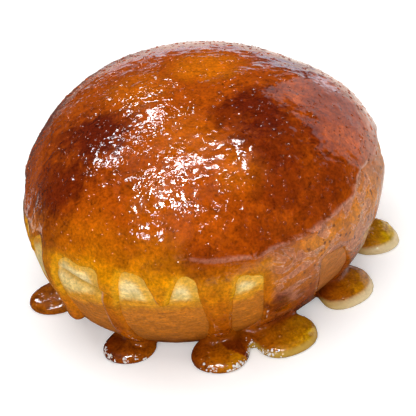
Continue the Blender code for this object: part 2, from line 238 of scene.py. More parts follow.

# Patches of the coat, darker and lighter, partly the crust's own blotches and partly painted shade
# and light: azimuth, height, radius and strength
DARK_PATCHES = (
    (203, 0.0452, 0.0140, 0.85), (210, 0.0395, 0.0130, 0.75), (216, 0.0330, 0.0080, 0.30),
    (316, 0.0480, 0.0130, 0.85), (298, 0.0487, 0.0090, 0.70), (310, 0.0445, 0.0135, 0.72),
    (304, 0.0365, 0.0105, 0.36), (348, 0.0430, 0.0130, 0.45), (288, 0.0335, 0.0080, 0.35),
    (300, 0.0400, 0.0110, 0.55), (262, 0.0325, 0.0090, 0.30), (240, 0.0430, 0.0060, 0.25),
    (312, 0.0390, 0.0100, 0.50), (22, 0.0450, 0.0120, 0.55), (55, 0.0440, 0.0100, 0.40),
    (120, 0.0400, 0.0120, 0.45), (160, 0.0360, 0.0100, 0.45), (291, 0.0135, 0.0055, 0.70),
)
PALE_PATCHES = (
    (70, 0.0494, 0.0120, 0.90), (170, 0.0490, 0.0110, 0.45), (233, 0.0350, 0.0100, 0.28),
    (285, 0.0439, 0.0070, 0.45), (262, 0.0480, 0.0110, 0.35), (250, 0.0420, 0.0090, 0.25),
)

# Pale flecks on the pools' rims: number of the pool, direction from its middle, and spread
RIM_FLECKS = ((1, 212, 32), (1, 265, 26), (2, 305, 26), (2, 348, 18), (2, 248, 16), (4, 228, 18))

# Blisters of the coat: azimuth, height, radius and rise, and what the small ones share
BLISTERS = (
    (251, 0.0361, 0.0025, 0.00030), (292, 0.0467, 0.0022, 0.00026), (269, 0.0396, 0.0019, 0.00024),
    (279, 0.0457, 0.0021, 0.00030), (252, 0.0462, 0.0024, 0.00028), (220, 0.0457, 0.0017, 0.00022),
    (254, 0.0411, 0.0022, 0.00030), (216, 0.0486, 0.0018, 0.00022), (316, 0.0452, 0.0014, 0.00018),
    (289, 0.0433, 0.0015, 0.00020), (283, 0.0387, 0.0013, 0.00018), (241, 0.0433, 0.0019, 0.00026),
)
SMALL_BLISTERS = 170
SMALL_BLISTER_RADII = (0.0006, 0.0014)
SMALL_BLISTER_LOWEST = 0.031
SMALL_BLISTER_SPAN = 0.0185
SMALL_BLISTER_RISE = 0.16
SMALL_BLISTER_SEED = 11

# Pits of the coat, darkened with painted shade: cell size, least chance of a pit, widest radius in
# cells, and where they are
COAT_PITS = ((0.0016, 0.35, 0.30, "pitted"), (0.0013, 0.25, 0.42, "dense_pits"))

# Size of the lumps that roughen a strewn grain
GRAIN_ROUGHNESS_SIZE = 0.0003

# Colours by the place in the browning: 0 the foot, 0.4 to 0.6 the pale ring, 0.7 to 1 the dome.
# The coat's three lists stop where the dome's own colour, which is a setting, begins.
COAT_COLOURS = (
    (0.00, (0.18, 0.032, 0.001)), (0.14, (0.44, 0.102, 0.001)), (0.34, (0.56, 0.150, 0.001)),
    (0.41, (0.60, 0.190, 0.001)), (0.56, (0.66, 0.235, 0.001)), (0.63, (0.54, 0.150, 0.001)),
    (0.69, (0.47, 0.100, 0.001)), (0.715, (0.37, 0.060, 0.001)),
)
SOFT_COAT_COLOURS = (
    (0.00, (0.18, 0.032, 0.001)), (0.14, (0.46, 0.110, 0.001)), (0.34, (0.60, 0.170, 0.001)),
    (0.41, (0.67, 0.230, 0.001)), (0.58, (0.71, 0.260, 0.001)), (0.68, (0.60, 0.180, 0.001)),
    (0.74, (0.53, 0.130, 0.001)),
)
FLANK_COLOURS = (
    (0.00, (0.12, 0.017, 0.001)), (0.20, (0.31, 0.062, 0.001)), (0.40, (0.48, 0.125, 0.002)),
    (0.55, (0.60, 0.185, 0.004)), (0.69, (0.52, 0.125, 0.003)), (0.715, (0.36, 0.060, 0.001)),
)
DOME_FROM = 0.80
SOFT_DOME_FROM = 0.82
THIN_EDGE_COLOURS = (
    (0.00, (0.30, 0.080, 0.003)), (0.34, (0.50, 0.160, 0.005)), (0.42, (0.71, 0.320, 0.006)),
    (0.60, (0.70, 0.290, 0.004)), (0.68, (0.52, 0.130, 0.002)),
)
CRUST_COLOURS = (
    (0.00, (0.28, 0.070, 0.004)), (0.18, (0.47, 0.140, 0.006)), (0.33, (0.52, 0.160, 0.007)),
    (0.385, (0.66, 0.270, 0.005)), (0.435, (0.80, 0.570, 0.190)), (0.50, (0.80, 0.615, 0.280)),
    (0.575, (0.79, 0.540, 0.180)), (0.63, (0.60, 0.210, 0.004)), (0.70, (0.40, 0.070, 0.002)),
)
CRUST_FLANK_COLOURS = (
    (0.00, (0.28, 0.080, 0.012)), (0.20, (0.42, 0.130, 0.020)), (0.45, (0.48, 0.165, 0.032)),
    (0.60, (0.54, 0.190, 0.030)), (0.70, (0.38, 0.070, 0.004)),
)

# Colours of the pools by how golden they are, and of their rims
POOL_COLOURS = (
    (0.00, (0.15, 0.022, 0.001)), (0.22, (0.26, 0.052, 0.001)), (0.45, (0.37, 0.098, 0.001)),
    (0.75, (0.46, 0.180, 0.001)), (1.00, (0.54, 0.330, 0.002)),
)
AMBER_RIM = (0.46, 0.26, 0.020)
MILKY_RIM = (0.84, 0.69, 0.42)

# Single colours of the coat and of the crust
# Painted sheen of the right flank: a pinkish reflection, and paler streaks of it
SHEEN_COLOUR = (0.47, 0.185, 0.105)
SHEEN_VEIN_COLOUR = (0.76, 0.520, 0.380)
# Painted highlight along the ridge where the full coat begins
RIDGE_HIGHLIGHT_COLOUR = (0.64, 0.300, 0.200)
THICK_COLOUR = (0.26, 0.034, 0.001)
# Lighter and darker patches: partly the crust's own blotches, partly painted light and shade
PALE_PATCH_COLOUR = (0.64, 0.150, 0.001)
DARK_PATCH_COLOUR = (0.088, 0.003, 0.001)
# Painted highlight on the drip edges that face the left
EDGE_HIGHLIGHT_COLOUR = (0.78, 0.500, 0.360)
# Painted shade in the coat's pits
PIT_SHADE_COLOUR = (0.09, 0.014, 0.001)
STAIN_COLOUR = (0.72, 0.350, 0.008)
# Painted shade in the fold's crease
CREASE_SHADE_COLOUR = (0.62, 0.330, 0.030)
FLECK_COLOURS = ((0.62, 0.56, 0.50), (0.95, 0.93, 0.92))

# Camera: where it looks, how far away it stands, how steeply it looks down and how it is tilted
CAMERA_AIM = (0.0025, 0.0, 0.01353)
CAMERA_DISTANCE = 0.320
CAMERA_ELEVATION = math.radians(34.87)
CAMERA_ROLL = math.radians(-7.80)
CAMERA_LENS = 110.4
CAMERA_SENSOR = 36.0

# Studio: azimuth and elevation of each panel in degrees, distance, width, height, radiance, tint.
# The soft panels light every surface and aren't mirrored, and the others are seen only in gloss.
SOFT_PANELS = (
    ("ceiling", 100, 82, 0.90, 1.0, 1.0, 2.70, (1.0, 0.99, 0.97)),
    ("front", 258, 34, 1.00, 0.8, 0.8, 3.00, (1.0, 0.99, 0.97)),
    ("right", 325, 25, 1.00, 0.6, 0.6, 1.60, (1.0, 0.99, 0.97)),
)
SHINE_PANELS = (
    ("lamp_a", 105, 43, 0.36, 0.046, 0.036, 32.0, (1.0, 0.99, 1.0)),
    ("lamp_b", 131, 45, 0.90, 0.090, 0.120, 34.0, (0.90, 0.95, 1.0)),
    ("lamp_c", 118, 76, 0.90, 0.150, 0.130, 50.0, (0.98, 0.99, 1.0)),
    ("lamp_d", 54, 76, 0.90, 0.150, 0.120, 50.0, (0.98, 0.98, 1.0)),
    ("lamp_e", 229, 71, 0.90, 0.190, 0.150, 80.0, (0.95, 1.0, 1.0)),
    ("lamp_f", 278, 60, 0.90, 0.120, 0.090, 50.0, (1.0, 0.97, 1.0)),
    ("lamp_g", 238, 39, 0.90, 0.150, 0.120, 34.0, (0.90, 0.88, 1.0)),
    ("veil", 140, 76, 0.70, 0.40, 0.30, 0.2, (0.86, 0.80, 1.0)),
    ("back", 82, 0, 1.10, 0.85, 0.26, 1.50, (0.70, 0.82, 1.0)),
    ("back_right", 40, 19, 1.10, 1.15, 0.88, 1.00, (1.0, 0.86, 0.90)),
)
PANEL_AIM_HEIGHT = 0.6 * BUN_HEIGHT
SKY_COLOUR = (0.97, 0.97, 1.0)
SKY_STRENGTH = 0.03
SKY_SEEN = 1.0

# Floor: its half size, its two tones, and how it glows with the distance from the bun, from one
# glow to another
FLOOR_SIZE = 3.0
FLOOR_TONES = ((0.80, 0.80, 0.81), (0.84, 0.84, 0.84))
FLOOR_GLOW = (0.35, 1.5, 0.30, 0.95)

# Floor as the gloss mirrors it: its tint, its shade outside the lit fields, and the glow of those
# behind the bun. Each field begins between two values of x and two of y, the spot fades between
# two radii round its middle, and the field on the right ends between two distances.
MIRRORED_TINT = (0.80, 0.66, 0.56)
MIRRORED_SHADE = 0.02
MIRRORED_GLOW = 0.45
BACK_FIELDS = (((-0.05, 0.0), (0.03, 0.08)), ((-0.20, -0.12), (0.20, 0.28)))
SPOT_MIDDLE = (-0.107, 0.047, 0.0)
SPOT_RADII = (0.018, 0.032)
RIGHT_FIELD_X = (0.012, 0.050)
RIGHT_FIELD_END = (0.25, 0.45)

# Fine relief of the dough and of the coat, and the grains strewn as bubbles and as flecks
DOUGH_RELIEF = {
    "Ripple Size": 0.007, "Ripple Height": 0.00015, "Crinkle Size": 0.0022,
    "Crinkle Height": -0.00004, "Pit Size": 0.0020, "Pit Depth": 0.00008}
COAT_RELIEF = {
    "Ripple Size": 0.0055, "Crinkle Size": 0.0020, "Pit Size": 0.0016, "Pit Depth": 0.00006}
BUBBLE_GRAINS = {
    "Smallest": 0.00012, "Largest": 0.00052, "Flatness": 0.36, "Roundness": 2, "Seed": 7}
FLECK_GRAINS = {
    "Smallest": 0.00010, "Largest": 0.00038, "Flatness": 0.45, "Roundness": 2,
    "Roughness": 0.00034, "Seed": 3}

# Heights between which the dough's relief ends under the coat, the pits and the dense pits begin
# and end, and the bubbles begin on the dome and on the pools, with their share there
RELIEF_END = (0.033, 0.036)
PITS_BEGIN = (0.010, 0.016)
PITS_END = (0.0470, 0.0492)
DENSE_PITS_BEGIN = (0.006, 0.010)
DENSE_PITS_END = (0.0270, 0.0320)
DOME_BUBBLES_BEGIN = (0.026, 0.032)
POOL_BUBBLES_BEGIN = (0.0016, 0.0022)
POOL_BUBBLES = 0.8

# Thin edge of the coat: its reach inwards, the heights where it begins and where it is in full, its
# share below those, and what the flank takes from it. Stain: its reach outside the coat. Calm side:
# what it takes from the crinkles.
THIN_REACH = (0.0001, 0.0012)
THIN_BEGIN = (0.003, 0.006)
THIN_FULL = (0.015, 0.020)
THIN_LOW_SHARE = 0.40
THIN_FLANK_LOSS = 0.9
STAIN_REACH = 0.0028
CALM_LOSS = 0.7

# Painted highlight line on the drip edges that face the left: the turn over which the outline's slope
# is taken, the slopes between which it begins, where it lies across the outline, and the heights above
# the floor and the distances below the coat's edge between which it begins
HIGHLIGHT_TURN = 0.01
HIGHLIGHT_SLOPES = (0.2, 0.6)
HIGHLIGHT_OUTSIDE = (-0.0008, 0.0)
HIGHLIGHT_INSIDE = (0.0008, 0.0015)
HIGHLIGHT_BEGIN = (0.002, 0.005)
HIGHLIGHT_BELOW_EDGE = (0.002, 0.006)

# Colouring of the pools: how far from the bun it begins, the heights where it ends, the heights
# where the lip's ends by its thickness, how far round a pool its values reach, and where along it
# the milky part begins
POOL_BEGIN = (0.0005, 0.0035)
POOL_COLOUR_END = (0.0040, 0.0070)
LIP_COLOUR_END = (0.80, 1.15)
POOL_ROUND = 0.003
MILK_BEGIN = (-1.3, 0.6)

# Pale flecks: the ring in which they lie by the pool's size, and the heights between which they lie
FLECK_RING_BEGIN = (0.90, 0.98)
FLECK_RING_END = (1.2, 1.3)
FLECKS_BEGIN = (0.0004, 0.0008)
FLECKS_END = (0.0026, 0.0032)


def smooth_step(value, low, high):
    """0 below low, 1 above high, with a soft slope between them."""
    share = np.clip((value - low) / (high - low), 0.0, 1.0)
    return share * share * (3.0 - 2.0 * share)


def smooth_fall(value, low, high):
    """1 below low, 0 above high, with a soft slope between them."""
    return 1.0 - smooth_step(value, low, high)


def smooth_max(first, second, blend):
    """The larger of two values, with the corner between them rounded off."""
    near = np.maximum(blend - np.abs(first - second), 0.0) / blend
    return np.maximum(first, second) + near * near * blend * 0.25


def turn_between(azimuth, degrees):
    """Signed turn from an azimuth in degrees, in radians from -pi to pi."""
    return (azimuth - np.radians(degrees) + math.pi) % (2 * math.pi) - math.pi


def near_side(azimuth, middle, whole, gone):
    """1 on one side of the bun, 0 away from it."""
    return smooth_step(-np.abs(turn_between(azimuth, middle)), -gone, -whole)


def heading(degrees):
    """Level direction of an azimuth in degrees."""
    return np.array((math.cos(math.radians(degrees)), math.sin(math.radians(degrees))))


def waver(azimuth, waves):
    """Small waves round the bun, each with its size, count and phase."""
    return sum(size * np.sin(count * azimuth + phase) for size, count, phase in waves)


def height_round(listed, azimuth):
    """Height at an azimuth, eased from one listed point to the next and closed into a ring."""
    degrees = np.degrees(azimuth) % 360
    height = np.full_like(degrees, listed[0][1])
    for index, (start, low) in enumerate(listed):
        end, high = listed[(index + 1) % len(listed)]
        span = (end - start) % 360
        past = (degrees - start) % 360
        height = np.where(past <= span, low + (high - low) * smooth_step(past, 0, span), height)
    return height


def plan_factor(azimuth):
    """How far the bun stands out at an azimuth, as a share of its mean radius."""
    oval = OVAL_SHARE * np.cos(2 * (azimuth - OVAL_TURN))
    lobes = LOBE_SHARE * np.cos(3 * (azimuth - LOBE_TURN))
    return 1.0 + oval + lobes


def profile(level):
    """Radius and height on the outline: level 1 is the top, 0 the widest point, -1 the foot."""
    upper = np.clip(level, 0.0, 1.0) * math.pi / 2
    lower = np.clip(-level, 0.0, 1.0) * math.acos(FOOT_SHARE ** (UNDERSIDE_FULLNESS / 2))
    end = (1.0 - FOOT_SHARE ** UNDERSIDE_FULLNESS) ** (1.0 / UNDERSIDE_FULLNESS)
    dome_radius = np.clip(np.cos(upper), 0.0, 1.0) ** (2 / DOME_FULLNESS)
    dome_height = WIDEST_HEIGHT + (BUN_HEIGHT - WIDEST_HEIGHT) * np.sin(upper) ** (2 / DOME_FULLNESS)
    under_radius = np.cos(lower) ** (2 / UNDERSIDE_FULLNESS)
    under_height = WIDEST_HEIGHT * (1.0 - np.sin(lower) ** (2 / UNDERSIDE_FULLNESS) / end)
    radius = BUN_RADIUS * np.where(level >= 0.0, dome_radius, under_radius)
    return radius, np.where(level >= 0.0, dome_height, under_height)


PROFILE_LEVELS = np.linspace(1.0, -1.0, 4001)
PROFILE_RADII, PROFILE_HEIGHTS = profile(PROFILE_LEVELS)
PROFILE_STEPS = np.hypot(np.diff(PROFILE_RADII), np.diff(PROFILE_HEIGHTS))
PROFILE_ARCS = np.concatenate(([0.0], np.cumsum(PROFILE_STEPS)))
WHOLE_ARC = PROFILE_ARCS[-1]


def arc_at(height):
    """Distance along the outline from the top to a height."""
    return np.interp(-height, -PROFILE_HEIGHTS, PROFILE_ARCS)


def radius_at(height):
    """Mean radius of the outline at a height."""
    return np.interp(-height, -PROFILE_HEIGHTS, PROFILE_RADII)


def level_from_arc(arc):
    return np.interp(arc, PROFILE_ARCS, PROFILE_LEVELS)


def bun_points(azimuth, level):
    """Points of the bun's smooth outer shape, one row each."""
    radius, height = profile(level)
    reach = radius * plan_factor(azimuth)
    lean = (height / BUN_HEIGHT) ** 2
    x = reach * np.cos(azimuth) + lean * DOME_LEAN[0]
    y = reach * np.sin(azimuth) + lean * DOME_LEAN[1]
    return np.stack([x, y, height], -1)


def bun_normals(azimuth, level):
    """Outward directions of the bun's smooth outer shape."""
    step = 0.004
    high = np.minimum(level + step, 0.999)
    low = np.maximum(np.minimum(level - step, 0.995), -1.0)
    along = bun_points(azimuth, high) - bun_points(azimuth, low)
    inner_level = np.minimum(level, 0.999)
    around = bun_points(azimuth + step, inner_level) - bun_points(azimuth - step, inner_level)
    normal = np.cross(around, along)
    return normal / np.linalg.norm(normal, axis=-1, keepdims=True)


def fold_share(azimuth, height):
    """1 in the middle of the fold, 0 away from it."""
    degrees = np.degrees(azimuth) % 360
    share = (degrees - FOLD_START[0]) / (FOLD_END[0] - FOLD_START[0])
    fade = smooth_step(share, 0.0, 0.2) * smooth_fall(share, 0.8, 1.0)
    away = (height - FOLD_START[1] - (FOLD_END[1] - FOLD_START[1]) * share) / FOLD_HALF_WIDTH
    return fade * np.exp(-away * away)


def dough_relief(azimuth, height):
    """How far the dough stands out from the bun's smooth shape, which is less under the coat."""
    relief = -FOLD_DEPTH * fold_share(azimuth, height)
    ring = (height - RING_HEIGHT) / RING_HALF_WIDTH
    relief = relief + RING_SWELL * np.exp(-ring * ring)
    dents = list(HOLLOWS) + [(turn, pit_height, PIT_RADIUS, PIT_DEPTH) for turn, pit_height in PITS]
    for turn, dent_height, radius, depth in dents:
        aside = turn_between(azimuth, turn) * BUN_RADIUS
        spread = (aside * aside + (height - dent_height) ** 2) / radius ** 2
        relief = relief - depth * np.exp(-spread)
    return relief - COAT_THICKNESS * smooth_step(height, SINK_FROM, SINK_TO)


def lifted_points(azimuth, level, lift):
    """Points over the dough's own surface by a lift."""
    points = bun_points(azimuth, level)
    out = (dough_relief(azimuth, points[..., 2]) + lift)[..., None]
    return points + bun_normals(azimuth, level) * out


def drip_depth(azimuth, arc, drip):
    """How far inside one drip a place on the bun's side lies, negative outside it."""
    top_turn, end_turn, end_height, top_width, end_width, narrowing = drip[:6]
    edge = height_round(COAT_EDGE, np.array([math.radians(top_turn)]))
    root_height = float(edge[0]) + DRIP_ROOT_RISE
    root_arc = float(arc_at(root_height))
    end_arc = float(arc_at(end_height))
    tip_arc = end_arc - 0.5 * end_width if end_height > 0.0 else end_arc
    held_arc = np.clip(arc, root_arc, tip_arc)
    radius, height = profile(level_from_arc(held_arc))
    fall = np.clip((root_height - height) / (root_height - end_height), 0.0, 1.0)
    flare = 1.0 + (DRIP_FOOT_FLARE if end_height == 0.0 else 0.0) * smooth_step(fall, 0.72, 1.0)
    waist = smooth_step(fall, 0.0, narrowing)
    half_width = 0.5 * (top_width + (end_width - top_width) * waist) * flare
    middle_turn = top_turn + (end_turn - top_turn) * smooth_step(fall, 0.2, 0.9)
    aside = turn_between(azimuth, middle_turn) * radius * plan_factor(azimuth)
    return half_width - np.hypot(aside, arc - held_arc)


def outline_depth(azimuth, arc):
    """How far inside the caramel's outline a place on the bun lies, negative on bare dough."""
    depth = arc_at(height_round(COAT_EDGE, azimuth)) - arc + waver(azimuth, EDGE_WAVES)
    for drip in DRIPS:
        depth = smooth_max(depth, drip_depth(azimuth, arc, drip), OUTLINE_BLEND)
    return depth


def softness(azimuth):
    """1 where the thick coat runs out softly into the thin film below, 0 where it ends in a ridge."""
    away = np.degrees(np.abs(turn_between(azimuth, SOFT_MIDDLE)))
    return smooth_fall(away, SOFT_HALF_WIDTH, SOFT_HALF_WIDTH + SOFT_FADE)


def caramel_lift(azimuth, arc):
    """Height of the caramel's skin over the dough; below it where the dough is bare."""
    depth = outline_depth(azimuth, arc)
    above = arc_at(height_round(TOAST_LINE, azimuth)) + waver(azimuth, TOAST_WAVES) - arc
    soft = softness(azimuth)
    step = FILM_STEP + (SOFT_STEP - FILM_STEP) * soft
    breaks = RIDGE_BREAKS * np.sin(9 * azimuth + 0.5) * np.sin(5 * azimuth)
    broken = (1.0 - soft) * (RIDGE_SHARE + breaks)
    full = FILM_SHARE + (1.0 - FILM_SHARE) * smooth_step(above, -step, step)
    ridge = RIDGE_RISE * broken * np.exp(-((above - FILM_STEP) / RIDGE_HALF_WIDTH) ** 2)
    fullest = COAT_THICKNESS * full + ridge
    past_edge = arc - arc_at(height_round(COAT_EDGE, azimuth))
    below_edge = smooth_step(past_edge, 0.0, DRIP_MERGE)
    for drip in DRIPS:
        inside = smooth_step(drip_depth(azimuth, arc, drip), -DRIP_BORDER, DRIP_BORDER)
        end_arc = float(arc_at(drip[2]))
        bead = 1.0 + drip[7] * np.exp(-((arc - end_arc + BEAD_REACH) / BEAD_REACH) ** 2)
        own = (drip[6] + CONTACT_GAP) * bead
        fullest = fullest + (own - COAT_THICKNESS) * inside * below_edge
    share = np.clip(depth / EDGE_ROUNDING, 0.0, 1.0)
    lift = fullest * np.sqrt(1.0 - (1.0 - share) ** 2)
    return np.where(depth > 0.0, lift, -SUNK_DEPTH * smooth_step(-depth, *SUNK_STRETCH))


def bare_dough(azimuth, arc):
    """The dough itself has nothing on it."""
    return np.zeros_like(azimuth + arc)


def ring_arcs(dome_step, side_step):
    """Distances of the rings from the top: wide apart on the dome, close on the side."""
    split = float(arc_at(MESH_SIDE_HEIGHT))
    dome = np.arange(1, int(split / dome_step)) * dome_step
    side = np.linspace(dome[-1] + side_step, WHOLE_ARC, int((WHOLE_ARC - dome[-1]) / side_step))
    return np.concatenate((dome, side))


def add_object(name, mesh):
    made = bpy.data.objects.new(name, mesh)
    bpy.context.scene.collection.objects.link(made)
    return made


def closed_rings(name, rings, top, bottom):
    """A closed mesh from rings of points between a top and a bottom point."""
    count, columns = rings.shape[:2]
    points = np.concatenate((rings.reshape(-1, 3), [top], [bottom]))
    here = list(range(columns))
    pairs = list(zip(here, here[1:] + here[:1]))
    top_index = count * columns
    last = (count - 1) * columns
    faces = [(top_index, a, b) for a, b in pairs]
    for above in range(0, last, columns):
        below = above + columns
        faces += [(above + a, below + a, below + b, above + b) for a, b in pairs]
    faces += [(top_index + 1, last + b, last + a) for a, b in pairs]
    mesh = bpy.data.meshes.new(name)
    mesh.from_pydata(points.tolist(), [], faces)
    mesh.update()
    return add_object(name, mesh)


def bun_skin(name, mesh_steps, lift_at, base_height):
    """A closed skin over the whole bun, lifted off the dough by lift_at(azimuth, arc)."""
    columns, dome_step, side_step = mesh_steps
    arcs = ring_arcs(dome_step, side_step)
    azimuth = np.linspace(0.0, 2 * math.pi, columns, endpoint=False)
    azimuth, arc = np.meshgrid(azimuth, arcs)
    rings = lifted_points(azimuth, level_from_arc(arc), lift_at(azimuth, arc))
    rings[-1, :, 2] = 0.0
    first = np.array([0.0])
    top = lifted_points(first, np.array([1.0]), lift_at(first, first))[0]
    top[:2] = rings[0, :, :2].mean(axis=0)
    return closed_rings(name, rings, top, (0.0, 0.0, base_height))


def pool_body(name, pool, number, lip=False, columns=72, rings=28):
    """One set pool: flat-topped, round-rimmed, and climbing the bun's foot inwards."""
    turn, distance, half_along, half_out, thickness, lip_reach = pool[:6]
    beyond = -LIP_INSET * (lip_reach > 0.0)
    thickness = LIP_THICKNESS if lip else thickness
    azimuth = np.linspace(0.0, 2 * math.pi, columns, endpoint=False)
    latitude = np.linspace(0.5 * math.pi, -0.5 * math.pi, rings + 1)[1:-1]
    azimuth, latitude = np.meshgrid(azimuth, latitude)
    out = np.append(heading(turn), 0.0)
    along = np.array((-out[1], out[0], 0.0))
    reach = np.clip(np.cos(latitude), 0.0, 1.0) ** (2 / POOL_SQUARENESS)
    wave = 1.0 + POOL_WAVE * (np.cos(2 * azimuth + number) + np.cos(3 * azimuth + 2.3 * number))
    flat = (out * (np.cos(azimuth) * (half_out + beyond))[..., None]
            + along * (np.sin(azimuth) * (half_along + beyond))[..., None])
    shown = LIP_OUTWARDS * out + (LIP_SIDE if out[1] < 0.6 else 0.0 * out)
    moved = lip_reach * shown / np.linalg.norm(shown) if lip else 0.0 * out
    points = out * distance + moved + flat * (reach * wave)[..., None]
    rim_height = 0.5 * LIP_THICKNESS
    rise = np.abs(np.sin(latitude)) ** (2 / POOL_SQUARENESS)
    heel = 1.0 + POOL_HEEL * smooth_step(-reach * np.cos(azimuth), -0.2, 0.9)
    upper = rim_height + (thickness - rim_height) * rise * heel
    points[..., 2] = np.where(latitude >= 0.0, upper, rim_height - 2.0 * rim_height * rise)
    return closed_rings(name, points, points[0].mean(axis=0), points[-1].mean(axis=0))


def plain_mesh(piece):
    """Work a piece's modifiers into its mesh and take them off."""
    bpy.context.view_layer.update()
    graph = bpy.context.evaluated_depsgraph_get()
    mesh = bpy.data.meshes.new_from_object(piece.evaluated_get(graph))
    piece.modifiers.clear()
    old = piece.data
    piece.data = mesh
    bpy.data.meshes.remove(old)


def joined(name, pieces):
    """One object that holds all the pieces' faces."""
    work = bmesh.new()
    for piece in pieces:
        work.from_mesh(piece.data)
    mesh = bpy.data.meshes.new(name)
    work.to_mesh(mesh)
    work.free()
    for piece in pieces:
        bpy.data.objects.remove(piece, do_unlink=True)
    return add_object(name, mesh)


def coordinates(mesh):
    flat = np.empty(len(mesh.vertices) * 3)
    mesh.vertices.foreach_get("co", flat)
    return flat.reshape(-1, 3)


def set_coordinates(mesh, points):
    mesh.vertices.foreach_set("co", np.ascontiguousarray(points, dtype=np.float32).ravel())
    mesh.update()


def add_values(mesh, **named):
    """Named values at each point, for the materials and the geometry nodes to read."""
    for name, values in named.items():
        attribute = mesh.attributes.new(name, 'FLOAT', 'POINT')
        attribute.data.foreach_set("value", np.ascontiguousarray(values, dtype=np.float32))


def caramel_places(points):
    """Azimuth, height and depth inside the caramel's outline, at each point."""
    azimuth = np.arctan2(points[:, 1], points[:, 0])
    height = points[:, 2]
    return azimuth, height, outline_depth(azimuth, arc_at(np.clip(height, 0.0, BUN_HEIGHT)))


def browning(azimuth, height):
    """Place in the bun's colouring: 0 the foot, 0.4 to 0.6 the pale ring, 0.7 to 1 the dome."""
    low = height_round(RING_BOTTOM, azimuth)
    high = height_round(RING_TOP, azimuth)
    toast = np.maximum(height_round(TOAST_LINE, azimuth), high + 0.0012)
    zone = 0.4 * height / low
    zone = np.where(height > low, 0.4 + 0.2 * (height - low) / (high - low), zone)
    zone = np.where(height > high, 0.6 + 0.1 * (height - high) / (toast - high), zone)
    zone = np.where(height > toast, 0.7 + 0.3 * (height - toast) / (BUN_HEIGHT - toast), zone)
    return np.clip(zone, 0.0, 1.0)


def bun_axis():
    """Where the bun's own axis stands in the frame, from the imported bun's box."""
    low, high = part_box("dough")
    azimuth, level = np.meshgrid(np.linspace(0, 2 * math.pi, 720), np.linspace(0.6, -0.6, 241))
    points = lifted_points(azimuth, level, np.zeros_like(azimuth)).reshape(-1, 3)
    middle = 0.5 * (points.min(axis=0) + points.max(axis=0))
    return np.array((0.5 * (low.x + high.x) - middle[0], 0.5 * (low.y + high.y) - middle[1], 0.0))


AXIS = bun_axis()


def place_in_box(piece, move=(0.0, 0.0, 0.0)):
    """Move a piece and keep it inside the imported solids' box."""
    low, high = CAD_BOUNDS
    points = coordinates(piece.data) + np.array(move)
    set_coordinates(piece.data, np.clip(points, np.array(low), np.array(high)))


def on_bun(turn, height):
    """A point of the coat in the frame, from an azimuth in degrees and a height."""
    level = level_from_arc(arc_at(np.array([height])))
    return tuple(bun_points(np.array([math.radians(turn)]), level)[0] + AXIS)


def settings():
    return bpy.context.scene.doughnut


